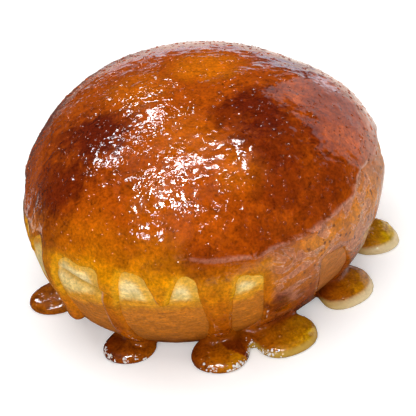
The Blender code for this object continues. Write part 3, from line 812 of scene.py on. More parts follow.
class NodeHand:
    """Adds nodes to a tree and joins them, so that a material or a geometry tree reads in order."""

    def __init__(self, tree):
        self.tree = tree

    def give(self, target, value):
        """Join a socket to another or set its value; a colour may leave out its alpha."""
        if isinstance(value, bpy.types.NodeSocket):
            self.tree.links.new(value, target)
        elif target.type == 'RGBA' and len(value) == 3:
            target.default_value = (*value, 1.0)
        else:
            target.default_value = value

    def node(self, kind, inputs=(), **values):
        made = self.tree.nodes.new(kind)
        for name, value in values.items():
            setattr(made, name, value)
        for key, value in dict(inputs).items():
            self.give(made.inputs[key], value)
        return made

    def math(self, operation, first, second=0.0):
        return self.node('ShaderNodeMath', {0: first, 1: second}, operation=operation).outputs[0]

    def add(self, first, second):
        return self.math('ADD', first, second)

    def less(self, first, second):
        return self.math('SUBTRACT', first, second)

    def times(self, first, second):
        return self.math('MULTIPLY', first, second)

    def larger(self, first, second):
        return self.math('MAXIMUM', first, second)

    def size(self, value):
        return self.math('ABSOLUTE', value)

    def ranged(self, value, low, high, new_low, new_high, slope='LINEAR'):
        """A value between low and high, moved to between new_low and new_high."""
        inputs = {0: value, 1: low, 2: high, 3: new_low, 4: new_high}
        return self.node('ShaderNodeMapRange', inputs, interpolation_type=slope).outputs[0]

    def step(self, value, low, high):
        """0 below low and 1 above high, softly."""
        return self.ranged(value, low, high, 0.0, 1.0, 'SMOOTHSTEP')

    def fall(self, value, low, high):
        """1 below low and 0 above high, softly."""
        return self.ranged(value, low, high, 1.0, 0.0, 'SMOOTHSTEP')

    def mix(self, share, first, second):
        made = self.node('ShaderNodeMix', data_type='RGBA')
        for key, value in ((0, share), (6, first), (7, second)):
            self.give(made.inputs[key], value)
        return made.outputs[2]

    def scaled(self, vector, share):
        """A colour made lighter or darker, or a direction made longer or shorter."""
        made = self.node('ShaderNodeVectorMath', {0: vector}, operation='SCALE')
        self.give(made.inputs['Scale'], share)
        return made.outputs[0]

    def distance(self, first, second):
        made = self.node('ShaderNodeVectorMath', {0: first, 1: second}, operation='DISTANCE')
        return made.outputs['Value']

    def noise(self, vector, size, detail=2.0, roughness=0.5, distortion=0.0):
        inputs = {'Vector': vector, 'Scale': 1.0 / size, 'Detail': detail,
                  'Roughness': roughness, 'Distortion': distortion}
        return self.node('ShaderNodeTexNoise', inputs).outputs[0]

    def ramp(self, value, stops):
        """A colour ramp from (place, colour) pairs."""
        made = self.node('ShaderNodeValToRGB', {0: value})
        ramp = made.color_ramp
        ramp.interpolation = 'EASE'
        while len(ramp.elements) < len(stops):
            ramp.elements.new(0.5)
        for element, (place, colour) in zip(ramp.elements, stops):
            element.position = place
            element.color = (*colour, 1.0)
        return made.outputs[0]

    def attribute(self, name):
        """A value stored at the points of a piece, in its material."""
        return self.node('ShaderNodeAttribute', attribute_name=name).outputs['Fac']

    def stored(self, name):
        """A value stored at the points of a piece, in a geometry tree."""
        made = self.node('GeometryNodeInputNamedAttribute', {'Name': name}, data_type='FLOAT')
        return made.outputs['Attribute']

    def group(self, tree, inputs):
        made = self.tree.nodes.new('ShaderNodeGroup')
        made.node_tree = tree
        for key, value in inputs.items():
            self.give(made.inputs[key], value)
        return made.outputs

    def pushed(self, geometry, height):
        """A geometry moved out along its normals by a height."""
        normal = self.node('GeometryNodeInputNormal').outputs[0]
        inputs = {'Geometry': geometry, 'Offset': self.scaled(normal, height)}
        return self.node('GeometryNodeSetPosition', inputs).outputs[0]

    def finish(self, geometry, material):
        """End a geometry tree: instances made real, the material set and the result put out."""
        whole = self.node('GeometryNodeRealizeInstances', {0: geometry}).outputs[0]
        made = self.node('GeometryNodeSetMaterial', {'Geometry': whole, 'Material': material})
        self.node('NodeGroupOutput', {0: made.outputs[0]})


def new_tree(name, kind, inputs, outputs):
    """An empty node group with named inputs and outputs."""
    tree = bpy.data.node_groups.new(name, kind)
    for input_name, socket, value in inputs:
        made = tree.interface.new_socket(name=input_name, in_out='INPUT', socket_type=socket)
        if value is not None:
            made.default_value = value
    for output_name, socket in outputs:
        tree.interface.new_socket(name=output_name, in_out='OUTPUT', socket_type=socket)
    return tree


def shared_tree(name, make):
    """The node group of a name, made when it is first needed."""
    return bpy.data.node_groups.get(name) or make(name)


def patch_tree(name):
    """A ragged round patch: 1 in its middle, 0 past its radius."""
    tree = new_tree(name, 'ShaderNodeTree', (
        ("Vector", 'NodeSocketVector', None), ("Centre", 'NodeSocketVector', None),
        ("Radius", 'NodeSocketFloat', 0.01), ("Wander", 'NodeSocketFloat', 0.0),
    ), (("Patch", 'NodeSocketFloat'),))
    hand = NodeHand(tree)
    vector, centre, radius, wander = hand.node('NodeGroupInput').outputs[:4]
    share = hand.add(hand.math('DIVIDE', hand.distance(vector, centre), radius), wander)
    hand.node('NodeGroupOutput', {0: hand.fall(share, 0.30, 1.05)})
    return tree


def mottle_tree(name):
    """Uneven browning at three sizes, each about 0.5, and dark specks."""
    tree = new_tree(name, 'ShaderNodeTree', (("Vector", 'NodeSocketVector', None),), (
        ("Cloud", 'NodeSocketFloat'), ("Fleck", 'NodeSocketFloat'), ("Grain", 'NodeSocketFloat'),
        ("Speck", 'NodeSocketFloat')))
    hand = NodeHand(tree)
    vector = hand.node('NodeGroupInput').outputs[0]
    cloud = hand.noise(vector, 0.0100, detail=4.0, roughness=0.60)
    fleck = hand.noise(vector, 0.0024, detail=4.0, roughness=0.65, distortion=0.6)
    grain = hand.noise(vector, 0.0006, detail=2.0, roughness=0.60)
    speck = hand.step(hand.noise(vector, 0.0010, detail=3.0, roughness=0.65), 0.56, 0.70)
    hand.node('NodeGroupOutput', {0: cloud, 1: fleck, 2: grain, 3: speck})
    return tree


def strongest_patch(hand, vector, wander, listed):
    """The strongest of several patches, as one mask."""
    tree = shared_tree("Ragged Patch", patch_tree)
    mask = 0.0
    for turn, height, radius, strength in listed:
        given = {"Vector": vector, "Centre": on_bun(turn, height), "Radius": radius, "Wander": wander}
        mask = hand.larger(mask, hand.times(hand.group(tree, given)[0], strength))
    return mask


def mottle(hand, vector):
    """Cloud, fleck, grain and speck of the uneven browning."""
    return hand.group(shared_tree("Browning Mottle", mottle_tree), {"Vector": vector})


def new_material(name):
    material = bpy.data.materials.new(name)
    material.use_nodes = True
    hand = NodeHand(material.node_tree)
    shader = material.node_tree.nodes["Principled BSDF"]
    vector = hand.node('ShaderNodeTexCoord').outputs['Object']
    return material, hand, shader, vector


def flank_colour(hand, vector, zone, amber):
    """The thin caramel of the right flank, with a painted pinkish sheen and paler streaks of painted
    sheen in it.
    """
    flank = hand.ramp(zone, (*FLANK_COLOURS, (DOME_FROM, amber), (1.00, amber)))
    stretched = hand.node('ShaderNodeMapping', {
        'Vector': vector, 'Rotation': (0.0, 0.6, -0.9), 'Scale': (0.45, 1.0, 1.0)}).outputs[0]
    sheen_pattern = hand.noise(stretched, 0.0042, detail=4.0, roughness=0.62, distortion=0.9)
    side = hand.fall(zone, 0.695, 0.715)
    # Painted sheen: a pinkish reflection laid on in patches of the streaked noise
    sheen = hand.times(hand.step(sheen_pattern, 0.46, 0.60), 0.75)
    sheen = hand.times(sheen, hand.times(side, hand.step(zone, 0.06, 0.30)))
    flank = hand.mix(sheen, flank, SHEEN_COLOUR)
    # Painted sheen streaks along the middle of the streaked noise
    line = hand.fall(hand.size(hand.less(sheen_pattern, 0.53)), 0.0, 0.016)
    line = hand.times(line, hand.times(side, hand.step(zone, 0.25, 0.40)))
    return hand.mix(hand.times(line, 0.60), flank, SHEEN_VEIN_COLOUR)


def ridge_highlight_mask(hand, zone, fleck):
    """A broken painted highlight line along the ridge where the full coat begins, gone where it begins
    softly.
    """
    line = hand.fall(hand.size(hand.less(zone, 0.706)), 0.003, 0.018)
    line = hand.times(line, hand.step(fleck, 0.38, 0.52))
    return hand.times(line, hand.less(0.55, hand.times(hand.attribute("soft_line"), 0.55)))


def pool_colour(hand, around):
    """The set pools, brown to golden, with a rim from amber to milky."""
    pool = hand.ramp(hand.add(hand.attribute("pool_gold"), hand.times(around, 0.5)), POOL_COLOURS)
    rim = hand.mix(hand.attribute("pool_milk"), AMBER_RIM, MILKY_RIM)
    return hand.mix(hand.attribute("pool_rim"), pool, rim)


def caramel_colour(hand, vector):
    """Amber over the dome, gold over the pale ring, brown lower down, and the pools' own colours."""
    cloud, fleck, grain, speck = mottle(hand, vector)
    amber = tuple(settings().dome_colour)
    around = hand.less(fleck, 0.5)
    about = hand.less(cloud, 0.5)
    zone = hand.add(hand.attribute("browning"), hand.times(around, 0.022))
    zone = hand.add(zone, hand.times(about, 0.06))
    colour = hand.ramp(zone, (*COAT_COLOURS, (DOME_FROM, amber), (1.00, amber)))
    soft = hand.ramp(zone, (*SOFT_COAT_COLOURS, (SOFT_DOME_FROM, amber), (1.00, amber)))
    colour = hand.mix(hand.attribute("soft_line"), colour, soft)
    colour = hand.mix(hand.attribute("flank"), colour, flank_colour(hand, vector, zone, amber))
    # Painted highlight along the coat's ridge
    colour = hand.mix(ridge_highlight_mask(hand, zone, fleck), colour, RIDGE_HIGHLIGHT_COLOUR)
    colour = hand.mix(hand.times(hand.fall(cloud, 0.40, 0.60), 0.40), colour, THICK_COLOUR)
    wander = hand.times(hand.add(hand.times(around, 0.7), about), 1.3)
    # Patches that are partly the crust's own blotches and partly painted light and shade
    colour = hand.mix(strongest_patch(hand, vector, wander, PALE_PATCHES), colour, PALE_PATCH_COLOUR)
    colour = hand.mix(strongest_patch(hand, vector, wander, DARK_PATCHES), colour, DARK_PATCH_COLOUR)
    colour = hand.mix(hand.attribute("thin_edge"), colour, hand.ramp(zone, THIN_EDGE_COLOURS))
    # Painted highlight along the drip edges that face the left
    colour = hand.mix(hand.times(hand.attribute("pale_edge"), 0.65), colour, EDGE_HIGHLIGHT_COLOUR)
    colour = hand.mix(hand.attribute("pool"), colour, pool_colour(hand, around))
    uneven = hand.add(*(hand.ranged(noise, 0.25, 0.75, -0.36, 0.36) for noise in (fleck, grain)))
    dome = hand.ranged(hand.step(zone, 0.66, 0.80), 0.0, 1.0, 0.06, 0.24)
    uneven = hand.less(uneven, hand.times(speck, dome))
    clear = hand.less(1.0, hand.times(hand.attribute("pool_rim"), 0.8))
    return hand.scaled(colour, hand.add(1.0, hand.times(uneven, clear)))


def pit_mask(hand, vector):
    """Small pits of uneven size that take painted shade, sparse over the dome and dense over the flank.
    """
    mask = 0.0
    for cell_size, least, widest, where in COAT_PITS:
        cell = hand.node('ShaderNodeTexVoronoi', {'Vector': vector, 'Scale': 1.0 / cell_size})
        chance = hand.node('ShaderNodeSeparateColor', {0: cell.outputs['Color']}).outputs[0]
        radius = hand.ranged(chance, least, 1.0, 0.0, widest)
        pits = hand.step(hand.less(radius, cell.outputs['Distance']), 0.0, 0.08)
        mask = hand.larger(mask, hand.times(pits, hand.attribute(where)))
    return mask


def caramel_material():
    """Clear set caramel with a crinkled, glossy skin."""
    material, hand, shader, vector = new_material("Caramel Glaze")
    pits = pit_mask(hand, vector)
    # Painted shade in the pits
    colour = hand.mix(hand.times(pits, 0.75), caramel_colour(hand, vector), PIT_SHADE_COLOUR)
    hand.give(shader.inputs['Base Color'], colour)
    wave = hand.noise(vector, 0.0014, detail=1.0, roughness=0.5, distortion=1.2)
    ripple = hand.noise(vector, 0.0006, detail=0.0)
    calm = hand.step(hand.noise(vector, 0.0045, detail=2.0), 0.43, 0.56)
    hand.give(shader.inputs['Roughness'], hand.ranged(calm, 0.0, 1.0, 0.11, 0.05))
    crinkle = hand.add(wave, hand.times(ripple, 0.30))
    crinkle = hand.times(crinkle, hand.ranged(calm, 0.0, 1.0, 0.35, 1.15))
    crinkle = hand.times(crinkle, hand.attribute("crinkle"))
    height = hand.less(crinkle, hand.times(pits, 0.7))
    bump = hand.node('ShaderNodeBump', {'Height': height, 'Distance': 0.00011, 'Strength': 1.0})
    hand.give(shader.inputs['Normal'], bump.outputs[0])
    return material


def dough_material():
    """Fried crust: tan brown below, a cream ring round the middle, golden under the coat's edge."""
    material, hand, shader, vector = new_material("Fried Dough")
    cloud, fleck, grain, speck = mottle(hand, vector)
    around = hand.less(fleck, 0.5)
    shift = hand.add(hand.times(hand.less(cloud, 0.5), 0.05), hand.times(around, 0.07))
    zone = hand.add(hand.attribute("browning"), shift)
    colour = hand.ramp(zone, CRUST_COLOURS)
    stain = hand.step(hand.add(hand.attribute("stain"), hand.times(around, 0.5)), 0.30, 1.0)
    stain = hand.times(stain, hand.step(zone, 0.36, 0.42))
    colour = hand.mix(hand.times(stain, 0.85), colour, STAIN_COLOUR)
    # Painted shade darkening the fold's crease
    crease = hand.math('POWER', hand.attribute("crease"), 2.0)
    colour = hand.mix(hand.times(crease, 0.85), colour, CREASE_SHADE_COLOUR)
    colour = hand.mix(hand.attribute("flank"), colour, hand.ramp(zone, CRUST_FLANK_COLOURS))
    streak = hand.node('ShaderNodeVectorMath', {0: vector, 1: (1.0, 1.0, 3.2)}, operation='MULTIPLY')
    streak = hand.noise(streak.outputs[0], 0.0034, detail=3.0, roughness=0.6, distortion=0.5)
    light = hand.times(hand.step(streak, 0.48, 0.66), hand.step(zone, 0.06, 0.26))
    for tone in (hand.add(1.02, hand.times(light, 0.26)), hand.ranged(fleck, 0.25, 0.75, 0.80, 1.20),
                 hand.ranged(grain, 0.25, 0.75, 0.74, 1.26), hand.less(1.0, hand.times(speck, 0.16))):
        colour = hand.scaled(colour, tone)
    hand.give(shader.inputs['Base Color'], colour)
    hand.give(shader.inputs['Roughness'], hand.ranged(cloud, 0.3, 0.7, 0.45, 0.60))
    shader.inputs['Specular IOR Level'].default_value = 0.22
    height = hand.add(hand.times(streak, 1.6), hand.times(grain, 0.5))
    bump = hand.node('ShaderNodeBump', {'Height': height, 'Distance': 0.00030, 'Strength': 1.0})
    hand.give(shader.inputs['Normal'], bump.outputs[0])
    return material


def fleck_material():
    """Chalky white sugar flecks with a faint warm unevenness."""
    material, hand, shader, vector = new_material("Pale Flecks")
    tone = hand.noise(vector, 0.0006, detail=2.0)
    hand.give(shader.inputs['Base Color'], hand.mix(tone, *FLECK_COLOURS))
    hand.give(shader.inputs['Roughness'], hand.ranged(tone, 0.3, 0.7, 0.35, 0.55))
    return material


def board_material():
    """Plain white board, a touch uneven, with fields of painted shade and painted glow that only gloss
    mirrors.
    """
    material, hand, shader, vector = new_material("Pale Board")
    path = hand.node('ShaderNodeLightPath').outputs
    mirrored = path['Is Glossy Ray']
    place = hand.node('ShaderNodeSeparateXYZ', {0: vector}).outputs
    behind = hand.fall(hand.distance(vector, SPOT_MIDDLE), *SPOT_RADII)
    for in_x, in_y in BACK_FIELDS:
        behind = hand.larger(behind, hand.times(hand.step(place[0], *in_x), hand.step(place[1], *in_y)))
    reach = hand.distance(vector, (0.0, 0.0, 0.0))
    right = hand.times(hand.step(place[0], *RIGHT_FIELD_X), hand.fall(reach, *RIGHT_FIELD_END))
    unlit = hand.times(hand.less(1.0, hand.larger(right, behind)), mirrored)
    colour = hand.mix(hand.noise(vector, 0.05, detail=2.0), *FLOOR_TONES)
    colour = hand.mix(mirrored, colour, MIRRORED_TINT)
    colour = hand.scaled(colour, hand.ranged(unlit, 0.0, 1.0, 1.0, MIRRORED_SHADE))
    hand.give(shader.inputs['Base Color'], colour)
    shader.inputs['Roughness'].default_value = 0.8
    shader.inputs['Emission Color'].default_value = (1.0, 1.0, 1.0, 1.0)
    seen = hand.times(path['Is Camera Ray'], hand.ranged(reach, *FLOOR_GLOW))
    glow = hand.times(hand.times(mirrored, behind), MIRRORED_GLOW)
    hand.give(shader.inputs['Emission Strength'], hand.add(seen, glow))
    return material


def relief_tree(name):
    """Geometry nodes that push a skin in and out: soft ripples, sharper crinkles, and small pits."""
    tree = new_tree(name, 'GeometryNodeTree', (
        ("Geometry", 'NodeSocketGeometry', None), ("Ripple Size", 'NodeSocketFloat', 0.006),
        ("Ripple Height", 'NodeSocketFloat', 0.0), ("Crinkle Size", 'NodeSocketFloat', 0.002),
        ("Crinkle Height", 'NodeSocketFloat', 0.0), ("Pit Size", 'NodeSocketFloat', 0.002),
        ("Pit Depth", 'NodeSocketFloat', 0.0), ("Material", 'NodeSocketMaterial', None),
    ), (("Geometry", 'NodeSocketGeometry'),))
    hand = NodeHand(tree)
    given = hand.node('NodeGroupInput').outputs
    place = hand.node('GeometryNodeInputPosition').outputs[0]

    def wave(size, detail, distortion):
        inputs = {'Vector': place, 'Scale': hand.math('DIVIDE', 1.0, size), 'Detail': detail,
                  'Distortion': distortion}
        return hand.less(hand.node('ShaderNodeTexNoise', inputs).outputs[0], 0.5)

    ripple = hand.times(wave(given["Ripple Size"], 1.0, 0.0), hand.times(given["Ripple Height"], 4.0))
    ridge = hand.less(0.12, hand.size(wave(given["Crinkle Size"], 2.0, 0.8)))
    crinkle = hand.times(ridge, hand.times(given["Crinkle Height"], 8.0))
    cells = {'Vector': place, 'Scale': hand.math('DIVIDE', 1.0, given["Pit Size"])}
    cell = hand.node('ShaderNodeTexVoronoi', cells).outputs[0]
    pit = hand.times(hand.less(hand.step(cell, 0.0, 0.35), 1.0), given["Pit Depth"])
    height = hand.times(hand.add(hand.add(ripple, crinkle), pit), hand.stored("relief_share"))
    hand.finish(hand.pushed(given["Geometry"], height), given["Material"])
    return tree


def scatter_tree(name):
    """Geometry nodes that strew small round grains over a surface, where its scatter share allows."""
    tree = new_tree(name, 'GeometryNodeTree', (
        ("Geometry", 'NodeSocketGeometry', None), ("Density", 'NodeSocketFloat', 100000.0),
        ("Smallest", 'NodeSocketFloat', 0.0001), ("Largest", 'NodeSocketFloat', 0.0003),
        ("Flatness", 'NodeSocketFloat', 0.6), ("Roundness", 'NodeSocketInt', 2),
        ("Roughness", 'NodeSocketFloat', 0.0), ("Seed", 'NodeSocketInt', 1),
        ("Material", 'NodeSocketMaterial', None),
    ), (("Geometry", 'NodeSocketGeometry'),))
    hand = NodeHand(tree)
    given = hand.node('NodeGroupInput').outputs
    density = hand.times(given["Density"], hand.stored("scatter_share"))
    spread = hand.node('GeometryNodeDistributePointsOnFaces',
                       {'Mesh': given["Geometry"], 'Density': density, 'Seed': given["Seed"]})
    grain = hand.node('GeometryNodeMeshIcoSphere', {'Radius': 1.0, 'Subdivisions': given["Roundness"]})
    limits = {2: 0.0, 3: 1.0, 'Seed': given["Seed"]}
    chance = hand.node('FunctionNodeRandomValue', limits, data_type='FLOAT')
    squared = hand.times(chance.outputs[1], chance.outputs[1])
    growth = hand.times(squared, hand.less(given["Largest"], given["Smallest"]))
    radius = hand.add(given["Smallest"], growth)
    flat = hand.times(radius, given["Flatness"])
    scale = hand.node('ShaderNodeCombineXYZ', {0: radius, 1: radius, 2: flat})
    strewn = hand.node('GeometryNodeInstanceOnPoints', {
        'Points': spread.outputs['Points'], 'Instance': grain.outputs['Mesh'],
        'Rotation': spread.outputs['Rotation'], 'Scale': scale.outputs[0]})
    whole = hand.node('GeometryNodeRealizeInstances', {0: strewn.outputs[0]})
    place = hand.node('GeometryNodeInputPosition').outputs[0]
    rough = hand.node('ShaderNodeTexNoise', {'Vector': place, 'Scale': 1.0 / GRAIN_ROUGHNESS_SIZE})
    shaken = hand.times(hand.less(rough.outputs[0], 0.5), given["Roughness"])
    hand.finish(hand.pushed(whole.outputs[0], shaken), given["Material"])
    return tree


def run_nodes(piece, tree, values):
    """Put a geometry tree on a piece, set its inputs by name and work it into the mesh."""
    modifier = piece.modifiers.new(tree.name, 'NODES')
    modifier.node_group = tree
    for item in tree.interface.items_tree:
        if item.in_out == 'INPUT' and item.name in values:
            modifier[item.identifier] = values[item.name]
    plain_mesh(piece)


def finish_piece(piece, node=None):
    """Smooth shading, the body, and the hidden node that the piece stands for."""
    piece.data.shade_smooth()
    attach(piece, "root")
    if node:
        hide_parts(node)


class DoughnutSettings(bpy.types.PropertyGroup):
    """Sizes and colours that a user would change."""

    dome_colour: bpy.props.FloatVectorProperty(
        name="Dome Colour", description="Caramel over the toasted dome", size=3, subtype='COLOR',
        min=0.0, max=1.0, default=(0.425, 0.071, 0.001))
    ripple_height: bpy.props.FloatProperty(
        name="Ripple Height", description="Height of the coat's soft ripples", default=0.00011,
        min=0.0, max=0.001, subtype='DISTANCE', unit='LENGTH', precision=5)
    crinkle_height: bpy.props.FloatProperty(
        name="Crinkle Height", description="Height of the coat's sharp crinkles", default=0.00004,
        min=0.0, max=0.0005, subtype='DISTANCE', unit='LENGTH', precision=5)
    skin_step: bpy.props.FloatProperty(
        name="Skin Step", description="Distance between the points of the caramel's skin",
        default=0.00050, min=0.0003, max=0.002, subtype='DISTANCE', unit='LENGTH', precision=5)
    bubble_density: bpy.props.FloatProperty(
        name="Bubble Density", description="Small bubbles in each square metre of the coat",
        default=280000.0, min=0.0, max=1000000.0)
    fleck_density: bpy.props.FloatProperty(
        name="Fleck Density", description="Pale flecks in each square metre of the pools' rims",
        default=5000000.0, min=0.0, max=10000000.0)


class DOUGHNUT_OT_dough(bpy.types.Operator):
    """Build the fried bun with its pale ring, fold and pits"""

    bl_idname = "doughnut.dough"
    bl_label = "Fried Dough"

    def execute(self, context):
        dough = bun_skin("fried_dough", DOUGH_MESH, bare_dough, 0.0)
        azimuth, height, depth = caramel_places(coordinates(dough.data))
        add_values(
            dough.data,
            relief_share=smooth_fall(height, *RELIEF_END) * smooth_step(height, 0.0, 0.001),
            browning=browning(azimuth, height),
            flank=near_side(azimuth, *DOUGH_FLANK),
            crease=fold_share(azimuth, height),
            stain=smooth_step(depth, -STAIN_REACH, 0.0))
        run_nodes(dough, shared_tree("Skin Relief", relief_tree), {
            **DOUGH_RELIEF, "Material": dough_material()})
        place_in_box(dough, AXIS)
        finish_piece(dough, "dough")
        return {'FINISHED'}


class DOUGHNUT_OT_caramel(bpy.types.Operator):
    """Build the caramel coat with its drips and set pools as one skin"""

    bl_idname = "doughnut.caramel"
    bl_label = "Caramel Glaze"

    def execute(self, context):
        look = settings()
        bodies = [bun_skin("coat", COAT_MESH, caramel_lift, COAT_BOTTOM)]
        for number, pool in enumerate(POOLS):
            bodies.append(pool_body(f"pool_{number}", pool, number))
            if pool[5] > 0.0:
                bodies.append(pool_body(f"lip_{number}", pool, number, lip=True))
        caramel = joined("caramel_coat", bodies)
        remesh = caramel.modifiers.new("skin", 'REMESH')
        remesh.mode = 'VOXEL'
        remesh.voxel_size = look.skin_step
        smooth = caramel.modifiers.new("ease", 'SMOOTH')
        smooth.factor = 0.5
        smooth.iterations = 3
        plain_mesh(caramel)
        self.thin_hidden_parts(caramel)
        points = coordinates(caramel.data)
        self.paint_coat(caramel.data, points)
        self.paint_pools(caramel.data, points)
        run_nodes(caramel, shared_tree("Skin Relief", relief_tree), {
            **COAT_RELIEF, "Ripple Height": look.ripple_height,
            "Crinkle Height": look.crinkle_height, "Material": caramel_material()})
        self.raise_blisters(caramel.data)
        place_in_box(caramel, AXIS)
        finish_piece(caramel, "caramel_glaze")
        return {'FINISHED'}

    def thin_hidden_parts(self, caramel):
        """Fewer faces where the skin lies inside the bun or rests on the floor."""
        points = coordinates(caramel.data)
        azimuth, height, depth = caramel_places(points)
        bun_reach = radius_at(height) * plan_factor(azimuth) - HIDDEN_INSIDE
        inside = (depth < -HIDDEN_ASIDE) & (np.hypot(points[:, 0], points[:, 1]) < bun_reach)
        hidden = np.flatnonzero(inside | (height < HIDDEN_BELOW))
        caramel.vertex_groups.new(name="hidden").add(hidden.tolist(), 1.0, 'REPLACE')
        thin = caramel.modifiers.new("thin", 'DECIMATE')
        thin.ratio = HIDDEN_THINNING
        thin.vertex_group = "hidden"
        plain_mesh(caramel)
        caramel.vertex_groups.clear()

    def raise_blisters(self, mesh):
        """Low round blisters, a few large ones by place and many small ones strewn over the dome."""
        chance = np.random.default_rng(SMALL_BLISTER_SEED)
        low, high = SMALL_BLISTER_RADII
        listed = list(BLISTERS)
        for turn, share, size in zip(*(chance.random(SMALL_BLISTERS) for _ in range(3))):
            radius = low + (high - low) * size ** 2
            height = SMALL_BLISTER_LOWEST + SMALL_BLISTER_SPAN * share ** 0.6
            listed.append((360.0 * turn, height, radius, SMALL_BLISTER_RISE * radius))
        points = coordinates(mesh)
        normals = np.empty(len(points) * 3)
        mesh.vertices.foreach_get("normal", normals)
        rise = np.zeros(len(points))
        for turn, height, radius, peak in listed:
            away = np.linalg.norm(points - (np.array(on_bun(turn, height)) - AXIS), axis=1) / radius
            rise = np.maximum(rise, peak * np.sqrt(np.clip(1.0 - away * away, 0.0, 1.0)))
        set_coordinates(mesh, points + normals.reshape(-1, 3) * rise[:, None])

    def paint_coat(self, mesh, points):
        """Values for the coat's colouring, its thin edges, its pits and its crinkles."""
        azimuth, height, depth = caramel_places(points)
        flank = near_side(azimuth, *COAT_FLANK)
        thin = smooth_fall(depth, *THIN_REACH) * smooth_step(height, *THIN_BEGIN)
        full = THIN_LOW_SHARE + (1.0 - THIN_LOW_SHARE) * smooth_step(height, *THIN_FULL)
        thin = thin * (1.0 - THIN_FLANK_LOSS * flank) * full
        pitted = near_side(azimuth, *PITTED_SIDE) * smooth_step(height, *PITS_BEGIN)
        dense = near_side(azimuth, *DENSE_PITS_SIDE) * smooth_step(height, *DENSE_PITS_BEGIN)
        add_values(
            mesh,
            relief_share=smooth_step(height, 0.0, 0.0008),
            browning=browning(azimuth, height),
            thin_edge=thin,
            pale_edge=self.pale_edge(azimuth, height, depth),
            soft_line=softness(azimuth),
            flank=flank,
            pitted=pitted * smooth_fall(height, *PITS_END),
            dense_pits=dense * smooth_fall(height, *DENSE_PITS_END),
            crinkle=1.0 - CALM_LOSS * near_side(azimuth, *CALM_SIDE))

    def pale_edge(self, azimuth, height, depth):
        """1 on the painted highlight line along the clockwise edges of the left and back drips."""
        arc = arc_at(np.clip(height, 0.0, BUN_HEIGHT))
        ahead = outline_depth(azimuth + HIGHLIGHT_TURN, arc) - outline_depth(azimuth - HIGHLIGHT_TURN, arc)
        slope = ahead / (2 * HIGHLIGHT_TURN * BUN_RADIUS)
        line = smooth_step(depth, *HIGHLIGHT_OUTSIDE) * smooth_fall(depth, *HIGHLIGHT_INSIDE)
        below = height_round(COAT_EDGE, azimuth) - height
        line = line * smooth_step(slope, *HIGHLIGHT_SLOPES) * smooth_step(height, *HIGHLIGHT_BEGIN)
        line = line * smooth_step(below, *HIGHLIGHT_BELOW_EDGE)
        return line * near_side(azimuth, *EDGE_HIGHLIGHT_SIDE)

    def paint_pools(self, mesh, points):
        """Values that tell the pools, their golden parts and their pale lips from the rest."""
        height = points[:, 2]
        reach = np.hypot(points[:, 0], points[:, 1])
        pool_share = smooth_step(reach - radius_at(height), *POOL_BEGIN)
        gold, rim, milk = (np.zeros(len(points)) for _ in range(3))
        low = smooth_fall(height, *(LIP_THICKNESS * share for share in LIP_COLOUR_END))
        for turn, distance, half_along, half_out, _, lip_reach, golden, milky in POOLS:
            out = heading(turn)
            away = points[:, :2] - distance * out
            near = np.hypot(away[:, 0], away[:, 1]) < half_along + POOL_ROUND
            outwards = np.clip((away @ out) / half_out, -1.0, 1.0)
            # Painted light through each pool from the right; outwards, partly thinner caramel and partly
            # painted shade next to the bun
            lit = golden + GOLD_PAINTED_LIGHT_ACROSS * away[:, 0] / half_along + GOLD_OUTWARDS * outwards
            gold = np.where(near, np.clip(lit, 0.0, 1.0), gold)
            rim = np.where(near, low * min(1.0, lip_reach / LIP_WHOLE_REACH), rim)
            milk = np.where(near, milky * smooth_step(away[:, 0] / half_along, *MILK_BEGIN), milk)
        pool_share = pool_share * smooth_fall(height, *POOL_COLOUR_END)
        add_values(mesh, pool=pool_share, pool_gold=gold, pool_rim=rim, pool_milk=milk)


class DOUGHNUT_OT_bubbles(bpy.types.Operator):
    """Strew small set bubbles over the caramel"""

    bl_idname = "doughnut.bubbles"
    bl_label = "Bubbles"

    def execute(self, context):
        coat = bpy.data.objects["caramel_coat"]
        bubbles = add_object("caramel_bubbles", coat.data.copy())
        points = coordinates(bubbles.data)
        pool = np.empty(len(points))
        coat.data.attributes["pool"].data.foreach_get("value", pool)
        on_dome = smooth_step(points[:, 2], *DOME_BUBBLES_BEGIN)
        on_pools = POOL_BUBBLES * pool * smooth_step(points[:, 2], *POOL_BUBBLES_BEGIN)
        add_values(bubbles.data, scatter_share=on_dome + on_pools)
        run_nodes(bubbles, shared_tree("Grain Scatter", scatter_tree), {
            **BUBBLE_GRAINS, "Density": settings().bubble_density,
            "Material": coat.data.materials[0]})
        place_in_box(bubbles)
        finish_piece(bubbles)
        return {'FINISHED'}


class DOUGHNUT_OT_flecks(bpy.types.Operator):
    """Strew pale flecks over the rims of the front pools"""

    bl_idname = "doughnut.flecks"
    bl_label = "Pale Flecks"

    def execute(self, context):
        coat = bpy.data.objects["caramel_coat"]
        flecks = add_object("pale_flecks", coat.data.copy())
        points = coordinates(flecks.data) - AXIS
        share = np.zeros(len(points))
        for number, direction, spread in RIM_FLECKS:
            turn, distance, half_along, half_out = POOLS[number][:4]
            away = points[:, :2] - distance * heading(turn)
            reach = np.hypot(away[:, 0], away[:, 1]) / (0.5 * (half_along + half_out))
            aside = np.degrees(turn_between(np.arctan2(away[:, 1], away[:, 0]), direction)) / spread
            rim = smooth_step(reach, *FLECK_RING_BEGIN) * smooth_fall(reach, *FLECK_RING_END)
            share = np.maximum(share, rim * np.exp(-aside * aside))
        low = smooth_step(points[:, 2], *FLECKS_BEGIN) * smooth_fall(points[:, 2], *FLECKS_END)
        add_values(flecks.data, scatter_share=share * low)
        run_nodes(flecks, shared_tree("Grain Scatter", scatter_tree), {
            **FLECK_GRAINS, "Density": settings().fleck_density, "Material": fleck_material()})
        place_in_box(flecks)
        finish_piece(flecks)
        return {'FINISHED'}


